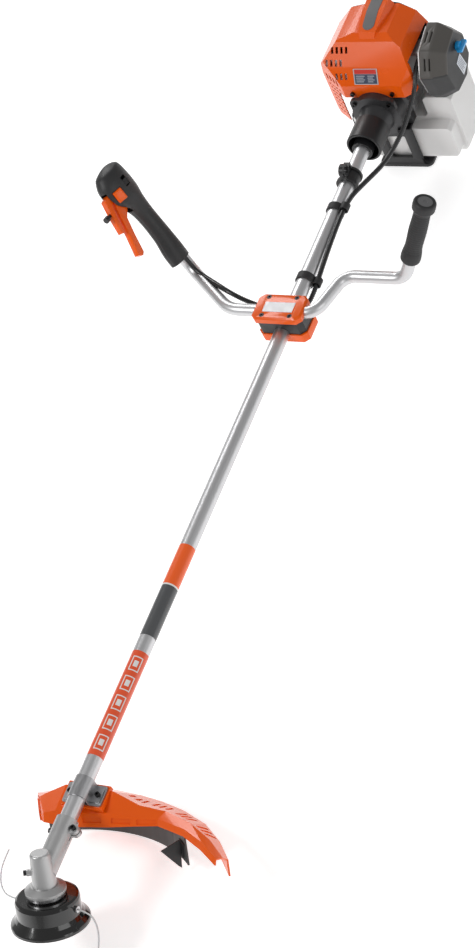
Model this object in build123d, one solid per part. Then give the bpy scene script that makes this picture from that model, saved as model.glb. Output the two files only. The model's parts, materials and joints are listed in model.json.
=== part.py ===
from build123d import *
import math
import os

# Petrol string trimmer with a bike handlebar.
# Every piece is drawn in the shaft frame: X runs along the shaft tube from the gearbox
# mouth (x = 0) to the engine, Y to the user's right hand, Z up, millimetres.
# PLACE at the end stands the machine on its guard and its tank stand.

# ---------------------------------------------------------------- driving dimensions
TUBE_OD = 28.0
TUBE_WALL = 1.5
TUBE_SEEN = 1411.0            # gearbox mouth to the engine collar
TUBE_IN_GEARBOX = 45.0
TUBE_IN_ENGINE = 69.0
DRIVE_SHAFT_D = 8.0
BUSH_LENGTH = 30.0
BUSH_COUNT = 5

HEAD_TILT = 30.0              # head axis leans this far from the shaft's normal
GEAR_CENTRE_X = -98.0         # where shaft axis and head axis cross
BARREL_TOP_R = 15.5
BARREL_FOOT_R = 19.5
BARREL_TOP_H = 40.0
FLANGE_R = 32.0
FLANGE_H = -26.0
PINION_TEETH = 15
GEAR_TEETH = 21
CONE_DISTANCE = 18.0
TOOTH_FACE = 6.0
TOOTH_DEPTH = 1.1

HEAD_R = 50.5
HEAD_RIM_R = 62.0
HEAD_TOP_H = -34.0
HEAD_WALL_FOOT_H = -62.0
HEAD_RIM_H = -80.0
HEAD_WALL = 3.0
KNOB_R = 26.0
KNOB_H = -95.0
LINE_D = 2.7
LINE_EXIT_H = -50.0

GUARD_SHEET = 3.0
SKIRT_R = 227.0
SKIRT_FOOT_H = -49.0
SKIRT_TOP_H = 6.0
BRACKET_X = 56.0              # middle of the guard bracket on the tube
BRACKET_LENGTH = 36.0
BRACKET_WIDTH = 70.0
BRACKET_T = 2.5
SADDLE_T = 2.0

BAR_OD = 22.0
BAR_WALL = 2.0
BAR_X = 1007.0
BAR_GAP = 2.0                 # bar and tube stand this far apart in the clamp
CLAMP_LENGTH = 58.0
CLAMP_WIDTH = 96.0
CLAMP_CAP_T = 14.0
CLAMP_SCREW_X = 20.5
CLAMP_SCREW_Y = 27.0
GRIP_AXIS = (0.197, 0.428, 0.882)
GRIP_FOOT = (1098.5, 225.4, 67.6)
PLAIN_GRIP_LENGTH = 134.0

HANGER_X = 1343.0
HANGER_WIDTH = 30.0
HANGER_EYE_R = 7.0

COLLAR_X = 1422.0
COLLAR_R = 33.0
COLLAR_LENGTH = 52.0
HOUSING_X = 1500.0
HOUSING_R = 52.0
DRUM_R = 39.0
FLYWHEEL_R = 45.0
CRANKCASE_X0 = 1560.0
CRANKCASE_X1 = 1625.0
BORE_R = 20.0
STROKE = 28.0
ROD_LENGTH = 52.0
CYLINDER_TOP_Z = 118.0
COVER_WALL = 2.5
COVER_Y0 = -80.0
COVER_Y1 = 113.0
COVER_FRONT_FOOT_Z = 34.0
COVER_SIDE_FOOT_Z = -38.0
TANK_WALL = 2.5
TANK_X0 = 1537.0
TANK_X1 = 1660.0
STARTER_X1 = 1676.0
STAND_T = 7.6
STAND_Y = 54.0

SCREW_D = 5.0
SCREW_HEAD_D = 8.5
SCREW_HEAD_H = 5.0

# ---------------------------------------------------------------- named clearances
RUN = 0.05                    # radial, running fits
SLIDE = 0.3                   # radial, loose sliding fits
FREE = 1.0                    # between faces of different bodies
TOOTH_GAP = 0.15

# ---------------------------------------------------------------- derived sizes
TUBE_R = TUBE_OD / 2
TUBE_BORE_R = TUBE_R - TUBE_WALL
ENGINE_DRAWN_AT = 1411.0      # the engine's own places are for this much tube
ENGINE_SHIFT = TUBE_SEEN - ENGINE_DRAWN_AT
TUBE_X1 = TUBE_SEEN + TUBE_IN_ENGINE
SHAFT_R = DRIVE_SHAFT_D / 2
BAR_R = BAR_OD / 2
BAR_Z = TUBE_R + BAR_R + BAR_GAP
TILT = math.radians(HEAD_TILT)
HEAD = Location(Plane(
    origin=(GEAR_CENTRE_X, 0, 0),
    x_dir=(math.cos(TILT), 0, -math.sin(TILT)),
    z_dir=(math.sin(TILT), 0, math.cos(TILT)),
))
AXIS_HEIGHT = -SKIRT_FOOT_H * math.cos(TILT) + SKIRT_R * math.sin(TILT)
GROUND_Z = -AXIS_HEIGHT
STAND_TOP_Z = GROUND_Z + STAND_T
FLANGE_TOP = FLANGE_H + 5.0

HEAD_FRONT_X = GEAR_CENTRE_X - HEAD_RIM_R * math.cos(TILT) + HEAD_RIM_H * math.sin(TILT)
MID_X = (HEAD_FRONT_X + STARTER_X1 + ENGINE_SHIFT) / 2
MID_Y = 14.0                  # the throttle grip reaches further out than the plain one

BOTTOM = (Align.CENTER, Align.CENTER, Align.MIN)


# ---------------------------------------------------------------- helpers
def block(x0, x1, y0, y1, z0, z1):
    """A box between two corners."""
    return Pos(x0, y0, z0) * Box(x1 - x0, y1 - y0, z1 - z0, align=Align.MIN)


def rod_x(r, x0, x1, y=0.0, z=0.0):
    """A cylinder along X."""
    return Pos(x0, y, z) * Rot(0, 90, 0) * Cylinder(r, x1 - x0, align=BOTTOM)


def rod_y(r, y0, y1, x=0.0, z=0.0):
    """A cylinder along Y."""
    return Pos(x, y0, z) * Rot(-90, 0, 0) * Cylinder(r, y1 - y0, align=BOTTOM)


def rod_z(r, z0, z1, x=0.0, y=0.0):
    """A cylinder along Z."""
    return Pos(x, y, z0) * Cylinder(r, z1 - z0, align=BOTTOM)


def sleeve_x(r_out, r_in, x0, x1, y=0.0, z=0.0):
    """A tube along X."""
    return rod_x(r_out, x0, x1, y, z) - rod_x(r_in, x0, x1, y, z)


def turned(points):
    """A solid of revolution about Z from (radius, height) points."""
    face = make_face(Plane.XZ * Polyline(*[(r, h) for r, h in points], close=True))
    return revolve(face, Axis.Z)


def turned_x(points):
    """A solid of revolution about X from (radius, x) points."""
    return Rot(0, 90, 0) * turned(points)


def ring(r_out, r_in, h0, h1):
    """A flat ring about Z."""
    return rod_z(r_out, h0, h1) - rod_z(r_in, h0, h1)


def prism(points, plane, depth):
    """A polygon on a plane, extruded along the plane's normal."""
    return extrude(make_face(plane * Polyline(*points, close=True)), depth, dir=plane.z_dir)


def socket_screw(length):
    """A socket head screw: shank down -Z from the head's seat at z = 0."""
    head = rod_z(SCREW_HEAD_D / 2, 0, SCREW_HEAD_H)
    socket = Pos(0, 0, SCREW_HEAD_H - 2.5) * extrude(RegularPolygon(2.3, 6), 2.5)
    return head - socket + rod_z(SCREW_D / 2, -length, 0)


def aimed(origin, z_dir, x_dir=(0, 1, 0)):
    """A location whose Z points along z_dir."""
    return Location(Plane(origin=origin, x_dir=x_dir, z_dir=z_dir))


def triangle_shell(rows, sheet):
    """A closed sheet over a grid of points, thickened along its own normals."""
    outer = [[Vector(*p) for p in row] for row in rows]
    last_i = len(outer) - 1
    last_j = len(outer[0]) - 1

    def normal(i, j):
        along = outer[min(i + 1, last_i)][j] - outer[max(i - 1, 0)][j]
        across = outer[i][min(j + 1, last_j)] - outer[i][max(j - 1, 0)]
        return along.cross(across).normalized()

    inner = [
        [outer[i][j] + normal(i, j) * sheet for j in range(last_j + 1)]
        for i in range(last_i + 1)
    ]
    faces = []

    def quad(a, b, c, d):
        for tri in ((a, b, c), (a, c, d)):
            faces.append(Face(Wire.make_polygon(tri, close=True)))

    for i in range(last_i):
        for j in range(last_j):
            quad(outer[i][j], outer[i][j + 1], outer[i + 1][j + 1], outer[i + 1][j])
            quad(inner[i][j], inner[i + 1][j], inner[i + 1][j + 1], inner[i][j + 1])
    for j in range(last_j):
        quad(outer[0][j], inner[0][j], inner[0][j + 1], outer[0][j + 1])
        quad(outer[last_i][j], outer[last_i][j + 1], inner[last_i][j + 1], inner[last_i][j])
    for i in range(last_i):
        quad(outer[i][0], outer[i + 1][0], inner[i + 1][0], inner[i][0])
        quad(outer[i][last_j], inner[i][last_j], inner[i + 1][last_j], outer[i + 1][last_j])
    solid = Solid(Shell(faces))
    return solid if solid.volume > 0 else -solid


# ---------------------------------------------------------------- gearbox
def bevel_angles():
    """Pitch cone half angles of pinion and gear, in degrees."""
    between = math.radians(90 - HEAD_TILT)
    ratio = GEAR_TEETH / PINION_TEETH
    pinion = math.atan2(math.sin(between), ratio + math.cos(between))
    return math.degrees(pinion), math.degrees(between - pinion)


def bevel_blank(half_angle, teeth):
    """A bevel gear about Z with its apex at the origin: a cone with tooth grooves."""
    a = math.radians(half_angle)
    small = CONE_DISTANCE - TOOTH_FACE
    z0 = small * math.cos(a)
    z1 = CONE_DISTANCE * math.cos(a)

    def outline(distance):
        tip = distance * math.sin(a) - TOOTH_GAP
        root = tip - TOOTH_DEPTH * distance / CONE_DISTANCE
        points = []
        for k in range(teeth):
            for part, r in ((-0.30, root), (-0.16, tip), (0.16, tip), (0.30, root)):
                turn = 2 * math.pi * (k + part) / teeth
                points.append((r * math.cos(turn), r * math.sin(turn)))
        return make_face(Polyline(*points, close=True))

    return loft([Pos(0, 0, z0) * outline(small), Pos(0, 0, z1) * outline(CONE_DISTANCE)], ruled=True)


PINION_ANGLE, GEAR_ANGLE = bevel_angles()
PINION_BACK = CONE_DISTANCE * math.cos(math.radians(PINION_ANGLE))
GEAR_BACK = CONE_DISTANCE * math.cos(math.radians(GEAR_ANGLE))
PINION_R = CONE_DISTANCE * math.sin(math.radians(PINION_ANGLE))
SMALL_BEARING = (11.0, 5.0, 6.0)      # outer radius, bore radius, width
TOP_BEARING = (9.5, 3.0, 6.0)
FOOT_BEARING = (13.0, 5.0, 8.0)
CLUTCH_BEARING = (14.0, 6.0, 8.0)
MAIN_BEARING = (17.5, 7.5, 10.0)
PINION_BEARING_X = (GEAR_CENTRE_X + 20.0, GEAR_CENTRE_X + 28.0)
TOP_BEARING_H = 25.0
FOOT_BEARING_H = -20.0
SPINDLE_FOOT_H = -52.0
SHAFT_X0 = -60.0
LUG_X = -16.0
LUG_Y = -TUBE_R - 7.0
GREASE_PLUG = Pos(0, 0, 8) * Rot(0, 0, 118) * Rot(0, 90, 0)


def gearbox_housing():
    barrel = Pos(0, 0, FLANGE_TOP) * Cone(
        BARREL_FOOT_R, BARREL_TOP_R, BARREL_TOP_H - FLANGE_TOP, align=BOTTOM)
    barrel = fillet(barrel.edges().group_by(Axis.Z)[-1], 4)
    foot = turned([(0, FLANGE_H), (FLANGE_R, FLANGE_H), (FLANGE_R, FLANGE_TOP),
                   (BARREL_FOOT_R + 2, FLANGE_TOP + 6), (0, FLANGE_TOP + 6)])
    boss = GREASE_PLUG * rod_z(5.5, 0, 24)
    body = HEAD * (barrel + foot + boss)
    sleeve_r = TUBE_R + 4.0
    body += rod_x(sleeve_r, GEAR_CENTRE_X + 6, 0)
    body += rod_z(8.0, -7.5, 7.5, LUG_X, LUG_Y)
    body += block(LUG_X - 8, LUG_X + 8, LUG_Y, -TUBE_R - 1, -7.5, 7.5)
    cavity = rod_z(FOOT_BEARING[0], FLANGE_H, FOOT_BEARING_H + FOOT_BEARING[2])
    cavity += rod_z(12.0, -12.5, 22.0)
    cavity += rod_z(TOP_BEARING[0], 21.0, TOP_BEARING_H + TOP_BEARING[2])
    body -= HEAD * cavity
    body -= rod_x(SMALL_BEARING[0], GEAR_CENTRE_X + 4, -TUBE_IN_GEARBOX)
    body -= rod_x(TUBE_R, -TUBE_IN_GEARBOX, 0.1)
    body -= block(-34, 0.1, -sleeve_r - 12, -5, -1.0, 1.0)
    body -= rod_z(SCREW_D / 2, -8, 8, LUG_X, LUG_Y)
    body -= rod_y(SCREW_D / 2, TUBE_R, sleeve_r + 1, -22)
    body -= HEAD * GREASE_PLUG * rod_z(SCREW_D / 2, 16, 30)
    return body


def pinion_gear():
    gear = bevel_blank(PINION_ANGLE, PINION_TEETH)
    hub = rod_z(PINION_R - 2.2, PINION_BACK, 20.0)
    shaft = rod_z(SMALL_BEARING[1] - RUN, 20.0, 48.0)
    socket = rod_z(SHAFT_R, SHAFT_X0 - GEAR_CENTRE_X, 48.0)
    return Pos(GEAR_CENTRE_X, 0, 0) * Rot(0, 90, 0) * (gear + hub + shaft - socket)


def bevel_gear():
    gear = Rot(0, 0, 180 / GEAR_TEETH) * bevel_blank(GEAR_ANGLE, GEAR_TEETH)
    hub = rod_z(8.0, GEAR_BACK, 21.0)
    return HEAD * (gear + hub - rod_z(4.0, 0, 30))


def output_spindle():
    spindle = rod_z(TOP_BEARING[1] - RUN, 22, TOP_BEARING_H + 5)
    spindle += rod_z(4.0, -10, 23)
    spindle += rod_z(FOOT_BEARING[1] - RUN, SPINDLE_FOOT_H, -8)
    return HEAD * spindle


def ball_bearings():
    """Pinion pair, spindle top and foot, clutch drum and the two main bearings."""
    parts = [sleeve_x(SMALL_BEARING[0], SMALL_BEARING[1], x, x + SMALL_BEARING[2])
             for x in PINION_BEARING_X]
    for size, h in ((TOP_BEARING, TOP_BEARING_H), (FOOT_BEARING, FOOT_BEARING_H)):
        parts.append(HEAD * ring(size[0], size[1], h, h + size[2]))
    for size, drawn_x in ((CLUTCH_BEARING, CLUTCH_BEARING_X), (MAIN_BEARING, MAIN_BEARING_X[0]),
                          (MAIN_BEARING, MAIN_BEARING_X[1])):
        x = drawn_x + ENGINE_SHIFT
        parts.append(sleeve_x(size[0], size[1], x, x + size[2]))
    return Compound(children=parts)


# ---------------------------------------------------------------- cutting head
FLANGE_GAP_H = FLANGE_H - FREE
HEAD_IN_TOP_H = HEAD_TOP_H - HEAD_WALL
COVER_H = HEAD_RIM_H + HEAD_WALL
RIM_IN_R = HEAD_RIM_R - HEAD_WALL
SPOOL_TOP_H = -46.0
SPOOL_FOOT_H = -71.0
SPOOL_R = 44.0
SPOOL_BORE_R = 12.5
NUT_FOOT_H = -41.0


def drive_flange():
    disc = turned([(0, FLANGE_GAP_H), (FLANGE_R - 1, FLANGE_GAP_H), (FLANGE_R - 1, FLANGE_GAP_H - 4),
                   (FLANGE_R - 4, HEAD_TOP_H), (0, HEAD_TOP_H)])
    return HEAD * (disc - rod_z(FOOT_BEARING[1] - RUN, HEAD_TOP_H - 1, FLANGE_GAP_H + 1))


def head_housing():
    outer = [(0, HEAD_TOP_H), (HEAD_R - 5, HEAD_TOP_H), (HEAD_R - 1.5, HEAD_TOP_H - 2),
             (HEAD_R, HEAD_TOP_H - 6), (HEAD_R, HEAD_WALL_FOOT_H),
             (HEAD_R + 4, HEAD_WALL_FOOT_H - 6), (HEAD_RIM_R - 1, HEAD_WALL_FOOT_H - 12),
             (HEAD_RIM_R, HEAD_WALL_FOOT_H - 14), (HEAD_RIM_R, HEAD_RIM_H)]
    inner = [(RIM_IN_R, HEAD_RIM_H), (RIM_IN_R, HEAD_WALL_FOOT_H - 13),
             (HEAD_R, HEAD_WALL_FOOT_H - 5), (HEAD_R - HEAD_WALL, HEAD_WALL_FOOT_H),
             (HEAD_R - HEAD_WALL, HEAD_IN_TOP_H), (0, HEAD_IN_TOP_H)]
    shell = turned(outer + inner)
    boss = ring(11.0, FOOT_BEARING[1] - RUN, NUT_FOOT_H, HEAD_IN_TOP_H)
    shell = shell + boss - rod_z(FOOT_BEARING[1] - RUN, HEAD_TOP_H - 5, HEAD_TOP_H + 1)
    eye = rod_y(EYELET_R, -HEAD_R - 2, HEAD_R + 2, 0, LINE_EXIT_H)
    return HEAD * (shell - eye)


EYELET_R = 3.6
EYELET_OUT = 54.0
EYELET_IN = 46.5


def line_eyelets():
    parts = []
    for side in (0, 180):
        eye = rod_y(EYELET_R, EYELET_IN, HEAD_R - 1, 0, LINE_EXIT_H)
        eye += rod_y(EYELET_R + 1.6, HEAD_R + 0.3, EYELET_OUT, 0, LINE_EXIT_H)
        eye += rod_y(EYELET_R, HEAD_R - 1, HEAD_R + 0.3, 0, LINE_EXIT_H)
        eye -= rod_y(LINE_D / 2 - 0.4, EYELET_IN, EYELET_OUT, 0, LINE_EXIT_H)
        parts.append(HEAD * Rot(0, 0, side) * eye)
    return Compound(children=parts)


def head_cover():
    cover = ring(RIM_IN_R, KNOB_R + SLIDE, HEAD_RIM_H, COVER_H)
    return HEAD * cover


def bump_knob():
    knob = turned([(0, SPOOL_FOOT_H), (KNOB_R, SPOOL_FOOT_H), (KNOB_R, KNOB_H + 8),
                   (KNOB_R - 3, KNOB_H + 2.5), (KNOB_R - 8, KNOB_H), (8, KNOB_H), (6, KNOB_H + 3),
                   (0, KNOB_H + 3)])
    return HEAD * knob


def line_spool():
    """The spool and the line wound on it."""
    bore_floor = SPOOL_FOOT_H + 6
    spool = turned([(SPOOL_BORE_R, SPOOL_TOP_H), (SPOOL_R, SPOOL_TOP_H), (SPOOL_R, SPOOL_TOP_H - 2),
                    (22, SPOOL_TOP_H - 2), (22, SPOOL_FOOT_H + 2), (SPOOL_R, SPOOL_FOOT_H + 2),
                    (SPOOL_R, SPOOL_FOOT_H), (0, SPOOL_FOOT_H), (0, bore_floor),
                    (SPOOL_BORE_R, bore_floor)])
    winding = ring(37.0, 22.0, SPOOL_FOOT_H + 2, SPOOL_TOP_H - 2)
    return Compound(children=[HEAD * spool, HEAD * winding])


def spool_spring():
    foot = SPOOL_FOOT_H + 7.5
    top = NUT_FOOT_H - 1.5
    path = Helix(pitch=(top - foot) / 5, height=top - foot, radius=9.0)
    start = path ^ 0
    coil = sweep(start * Circle(0.8), path)
    return HEAD * Pos(0, 0, foot) * coil


LINE_ROUTE = ((0, EYELET_OUT, -50), (3, 76, -51), (24, 101, -52), (55, 124, -53),
              (96, 146, -55), (136, 161, -57))


def corner_radii(points):
    """Radius at each corner: 0.45 of the shorter run over the tangent of half the turn."""
    radii = []
    for a, b, c in zip(points, points[1:], points[2:]):
        into = Vector(*b) - Vector(*a)
        out = Vector(*c) - Vector(*b)
        half_turn = math.radians(into.get_angle(out) / 2)
        radii.append(0.45 * min(into.length, out.length) / math.tan(half_turn))
    return radii


def cord(points, diameter, name):
    """A tube of runs and tangent arcs; prints its radii and checks its volume."""
    radii = corner_radii(points)
    path = FilletPolyline(*points, radius=radii)
    section = Plane(origin=path @ 0, z_dir=path % 0) * Circle(diameter / 2)
    tube = sweep(section, path)
    expected = math.pi * diameter ** 2 / 4 * path.length
    print(name, "length", round(path.length, 1), "radii", [round(r) for r in radii],
          "volume / expected", round(tube.volume / expected, 4))
    return tube


def cutting_line_a():
    return HEAD * cord(LINE_ROUTE, LINE_D, "cutting_line_a")


def cutting_line_b():
    return HEAD * Rot(0, 0, 180) * cord(LINE_ROUTE, LINE_D, "cutting_line_b")


# ---------------------------------------------------------------- guard
# Sections of the guard in the head's frame, from the right end to the left one. Each
# goes lip foot, lip top, ridge, outer edge, wall foot: (toward the engine, across, up).
GUARD_ROWS = (
    ((94, -247, 4), (98, -249, 13), (112, -252, 8), (130, -250, -6), (136, -246, -38)),
    ((112, -214, 15), (116, -216, 27), (130, -222, 24), (158, -222, 5), (164, -218, -26)),
    ((134, -172, 20), (138, -173, 31), (152, -178, 34), (190, -180, 12), (194, -177, -14)),
    ((151, -118, 20), (154, -118, 31), (168, -126, 38), (214, -128, 15), (216, -126, -10)),
    ((140, -82, 20), (144, -82, 33), (158, -86, 48), (227, -82, 17), (229, -81, -10)),
    ((126, -42, 20), (130, -42, 42), (156, -44, 67), (231, -42, 20), (233, -42, -10)),
    ((114, 6, 20), (118, 6, 42), (156, 4, 69), (233, 4, 22), (235, 4, -10)),
    ((112, 44, 20), (117, 44, 42), (156, 44, 67), (228, 48, 22), (230, 48, -10)),
    ((113, 66, 20), (118, 68, 34), (160, 86, 44), (214, 92, 22), (216, 93, -10)),
    ((116, 72, 20), (122, 75, 30), (158, 100, 36), (192, 128, 21), (194, 130, -22)),
)
SKIRT_ENDS = (-44.0, 31.0)
SKIRT_T = 3.0
GUARD_SCREW_TURNS = (-32.0, -4.0, 24.0)
CUTTER_TURN = -41.0


def guard_shell():
    shell = HEAD * triangle_shell(GUARD_ROWS, GUARD_SHEET)
    end = ((128, 84, 12), (190, 127, -22), (190, 127, 18), (158, 99, 32), (128, 80, 28))
    lean = math.degrees(math.atan2(end[1][1] - end[0][1], end[1][0] - end[0][0]))
    first = Pos(end[0][0], end[0][1], 0) * Rot(0, 0, lean)
    span = math.cos(math.radians(lean))
    wall = prism([((p[0] - end[0][0]) / span, p[2]) for p in end], Plane.XZ, GUARD_SHEET)
    shell += HEAD * first * wall
    seat_z = -TUBE_R - BRACKET_T
    half = BRACKET_LENGTH / 2 + 3
    pad = block(BRACKET_X - half, BRACKET_X + half, -BRACKET_WIDTH / 2 - 3, BRACKET_WIDTH / 2 + 3,
                seat_z - 8, seat_z)
    shell += pad
    shell -= block(BRACKET_X - 2 * half, BRACKET_X + 2 * half, -BRACKET_WIDTH / 2 - 3,
                   BRACKET_WIDTH / 2 + 3, seat_z, 0)
    for y in (-BRACKET_SCREW_Y, BRACKET_SCREW_Y):
        shell -= rod_z(SCREW_D / 2, seat_z - 12, seat_z + 1, BRACKET_X, y)
    for turn in GUARD_SCREW_TURNS:
        shell -= HEAD * Rot(0, 0, turn) * rod_x(SCREW_D / 2 + SLIDE, SKIRT_R - 6, SKIRT_R + 20, 0,
                                                GUARD_SCREW_H)
    shell -= HEAD * (rod_z(SKIRT_R + SKIRT_T, -60, 2) - rod_z(SKIRT_R - 40, -60, 2))
    return shell


BRACKET_SCREW_Y = 25.0
GUARD_SCREW_H = -4.0


def guard_skirt():
    band = ring(SKIRT_R, SKIRT_R - SKIRT_T, SKIRT_FOOT_H, SKIRT_TOP_H)
    wedge = Polyline((0, 0), *[
        (2 * SKIRT_R * math.cos(math.radians(a)), 2 * SKIRT_R * math.sin(math.radians(a)))
        for a in (SKIRT_ENDS[0], 0, SKIRT_ENDS[1])
    ], close=True)
    band &= Pos(0, 0, SKIRT_FOOT_H - 1) * extrude(make_face(wedge), SKIRT_TOP_H - SKIRT_FOOT_H + 2)
    for turn in GUARD_SCREW_TURNS:
        band -= Rot(0, 0, turn) * rod_x(SCREW_D / 2, SKIRT_R - 8, SKIRT_R + 4, 0, GUARD_SCREW_H)
    return HEAD * band


def line_cutter():
    """A pointed blade folded off a small plate on the inside of the skirt."""
    r = SKIRT_R - SKIRT_T
    plate = block(r - 2.2, r - 0.4, -12, 12, -44, -12)
    blade = prism([(r - 2, -14), (r - 34, -24), (r - 9, -58), (r - 4, -63), (r - 2, -34)],
                  Plane.XZ.offset(-2), 2.0)
    return HEAD * Rot(0, 0, CUTTER_TURN) * (plate + Pos(0, 10, 0) * blade)


def guard_bracket():
    top = -TUBE_R
    half = BRACKET_LENGTH / 2
    plate = block(BRACKET_X - half, BRACKET_X + half, -BRACKET_WIDTH / 2, BRACKET_WIDTH / 2,
                  top - BRACKET_T, top)
    plate = fillet(plate.edges().filter_by(Axis.Z), 4)
    for y in (-BRACKET_SCREW_Y, BRACKET_SCREW_Y):
        plate -= rod_z(SCREW_D / 2, top - 4, top + 1, BRACKET_X, y)
    return plate


def guard_saddle():
    half = BRACKET_LENGTH / 2
    x0 = BRACKET_X - half
    x1 = BRACKET_X + half
    saddle = rod_x(TUBE_R + SADDLE_T, x0, x1)
    saddle &= block(x0, x1, -40, 40, 0, 40)
    saddle += block(x0, x1, -TUBE_R - SADDLE_T, TUBE_R + SADDLE_T, -TUBE_R, 0)
    ear = BRACKET_WIDTH / 2 - 3
    saddle += block(x0 + 5, x1 - 5, -ear, ear, -TUBE_R, -TUBE_R + SADDLE_T)
    saddle -= rod_x(TUBE_R, x0, x1)
    saddle -= block(x0, x1, -TUBE_R, TUBE_R, -TUBE_R - 1, 0)
    for y in (-BRACKET_SCREW_Y, BRACKET_SCREW_Y):
        saddle -= rod_z(SCREW_D / 2, -20, 0, BRACKET_X, y)
    return saddle


# ---------------------------------------------------------------- shaft
def shaft_tube():
    return sleeve_x(TUBE_R, TUBE_BORE_R, -TUBE_IN_GEARBOX, TUBE_X1)


def drive_shaft():
    return rod_x(SHAFT_R, SHAFT_X0, DRUM_SOCKET_X + ENGINE_SHIFT)


def shaft_bushes():
    pitch = TUBE_X1 / BUSH_COUNT
    parts = []
    for k in range(BUSH_COUNT):
        x = pitch * (k + 0.4)
        parts.append(sleeve_x(TUBE_BORE_R, SHAFT_R + RUN, x, x + BUSH_LENGTH))
    return Compound(children=parts)


def harness_hanger():
    half = HANGER_WIDTH / 2
    r = TUBE_R + 4.5
    band = rod_x(r, HANGER_X - half, HANGER_X + half)
    band += rod_x(r + 2, HANGER_X - half, HANGER_X - half + 5)
    band += rod_x(r + 2, HANGER_X + half - 5, HANGER_X + half)
    ear_y = r + 6
    band += block(HANGER_X - half, HANGER_X + half, -6, 6, r - 2, r + 11)
    band += Pos(HANGER_X - 6, 0, r + 12) * Rot(-90, 0, 0) * Pos(0, 0, -4) * Cylinder(
        HANGER_EYE_R + 5, 8, align=BOTTOM)
    band -= rod_x(TUBE_R, HANGER_X - 2 * half, HANGER_X + 2 * half)
    band -= rod_y(HANGER_EYE_R, -10, 10, HANGER_X - 6, r + 12)
    band -= rod_y(SCREW_D / 2, -ear_y, ear_y, HANGER_X + 10, r + 5)
    return band


# ---------------------------------------------------------------- handlebar and clamp
def along_grip(distance, side=1):
    """A point on a grip's axis; side is 1 for the throttle, -1 for the plain grip."""
    axis = Vector(*GRIP_AXIS).normalized()
    p = Vector(*GRIP_FOOT) + axis * distance
    return (p.X, side * p.Y, p.Z)


BAR_CORNER = -43.0
BAR_ENDS = (128.0, 118.0)         # past the throttle grip's foot and the plain grip's foot


def bar_path():
    points = (along_grip(BAR_ENDS[1], -1), along_grip(BAR_CORNER, -1), (BAR_X + 84, -92, BAR_Z + 2),
              (BAR_X, -64, BAR_Z), (BAR_X, 104, BAR_Z), along_grip(BAR_CORNER), along_grip(BAR_ENDS[0]))
    return FilletPolyline(*points, radius=[32, 30, 30, 60, 36])


def handlebar():
    path = bar_path()
    start = Plane(origin=path @ 0, z_dir=path % 0)
    outer = sweep(start * Circle(BAR_R), path)
    return outer - sweep(start * Circle(BAR_R - BAR_WALL), path)


CLAMP_X0 = BAR_X - CLAMP_LENGTH / 2
CLAMP_X1 = BAR_X + CLAMP_LENGTH / 2
CAP_TOP_Z = BAR_Z + CLAMP_CAP_T
BLOCK_FOOT_Z = -1.0
BASE_FOOT_Z = -TUBE_R - 10.0


def clamp_slab(z0, z1, inset=0.0, corner=9.0):
    slab = block(CLAMP_X0 + inset, CLAMP_X1 - inset, -CLAMP_WIDTH / 2 + inset,
                 CLAMP_WIDTH / 2 - inset, z0, z1)
    return chamfer(slab.edges().filter_by(Axis.Z), corner)


def clamp_screw_holes(z0, z1):
    holes = [rod_z(SCREW_D / 2, z0, z1, BAR_X + sx * CLAMP_SCREW_X, sy * CLAMP_SCREW_Y)
             for sx in (-1, 1) for sy in (-1, 1)]
    return Compound(children=holes)


def clamp_cap():
    cap = clamp_slab(BAR_Z + 1, CAP_TOP_Z)
    cap = chamfer(cap.edges().group_by(Axis.Z)[-1], 3.5)
    cap -= rod_y(BAR_R, -60, 60, BAR_X, BAR_Z)
    for sx in (-1, 1):
        for sy in (-1, 1):
            cap -= rod_z(SCREW_HEAD_D / 2 + 0.4, CAP_TOP_Z - 5, CAP_TOP_Z + 1,
                         BAR_X + sx * CLAMP_SCREW_X, sy * CLAMP_SCREW_Y)
    return cap - clamp_screw_holes(0, 60)


def clamp_block():
    body = clamp_slab(BLOCK_FOOT_Z, BAR_Z - 1, 3.0)
    body -= rod_y(BAR_R, -60, 60, BAR_X, BAR_Z)
    body -= rod_x(TUBE_R, CLAMP_X0 - 1, CLAMP_X1 + 1)
    return body - clamp_screw_holes(-10, 40)


def clamp_base():
    base = clamp_slab(BASE_FOOT_Z, BLOCK_FOOT_Z - 1, 1.0)
    base = chamfer(base.edges().group_by(Axis.Z)[0], 5)
    base -= rod_x(TUBE_R, CLAMP_X0 - 1, CLAMP_X1 + 1)
    return base - clamp_screw_holes(-20, 10)


def plain_grip():
    """A waisted rubber grip whose closed end is a flat disc."""
    length = PLAIN_GRIP_LENGTH
    profile = [(BAR_R, 0), (15.5, 0), (17.5, 4), (17.5, 16), (15.2, 34), (15.6, 70),
               (14.8, 100), (15.2, 116), (20, 118), (20, 131), (18, length), (4, length),
               (4, length - 4), (0, length - 4), (0, BAR_ENDS[1]), (BAR_R, BAR_ENDS[1])]
    return grip_place(-1) * turned(profile)


def grip_place(side):
    """Frame of a grip: Z up its axis, X toward the trigger side."""
    axis = Vector(GRIP_AXIS[0], side * GRIP_AXIS[1], GRIP_AXIS[2]).normalized()
    forward = Vector(-1, 0, 0)
    forward = (forward - axis * forward.dot(axis)).normalized()
    return Location(Plane(origin=along_grip(0, side), x_dir=forward, z_dir=axis))


CASE_FOOT = -10.0
# Sections of the throttle case up its axis: height, middle toward the trigger, half
# width toward the trigger, half width across.
CASE_SECTIONS = ((CASE_FOOT, 9, 22, 17), (14, 8, 21.5, 18), (45, 5, 18.5, 16.5), (95, 5, 18, 16.5),
                 (122, 8, 22, 20), (145, 15, 34, 24), (175, 17, 36, 25), (196, 13, 30, 21))
PIVOT = (38.0, 144.0)
LOCKOUT_PIVOT = (42.0, 161.0)
PIN_R = 2.0
PIN_HALF = 11.0
TRIGGER_HALF = 6.0
LOOM_SOCKET = (8.0, 13.0)


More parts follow.
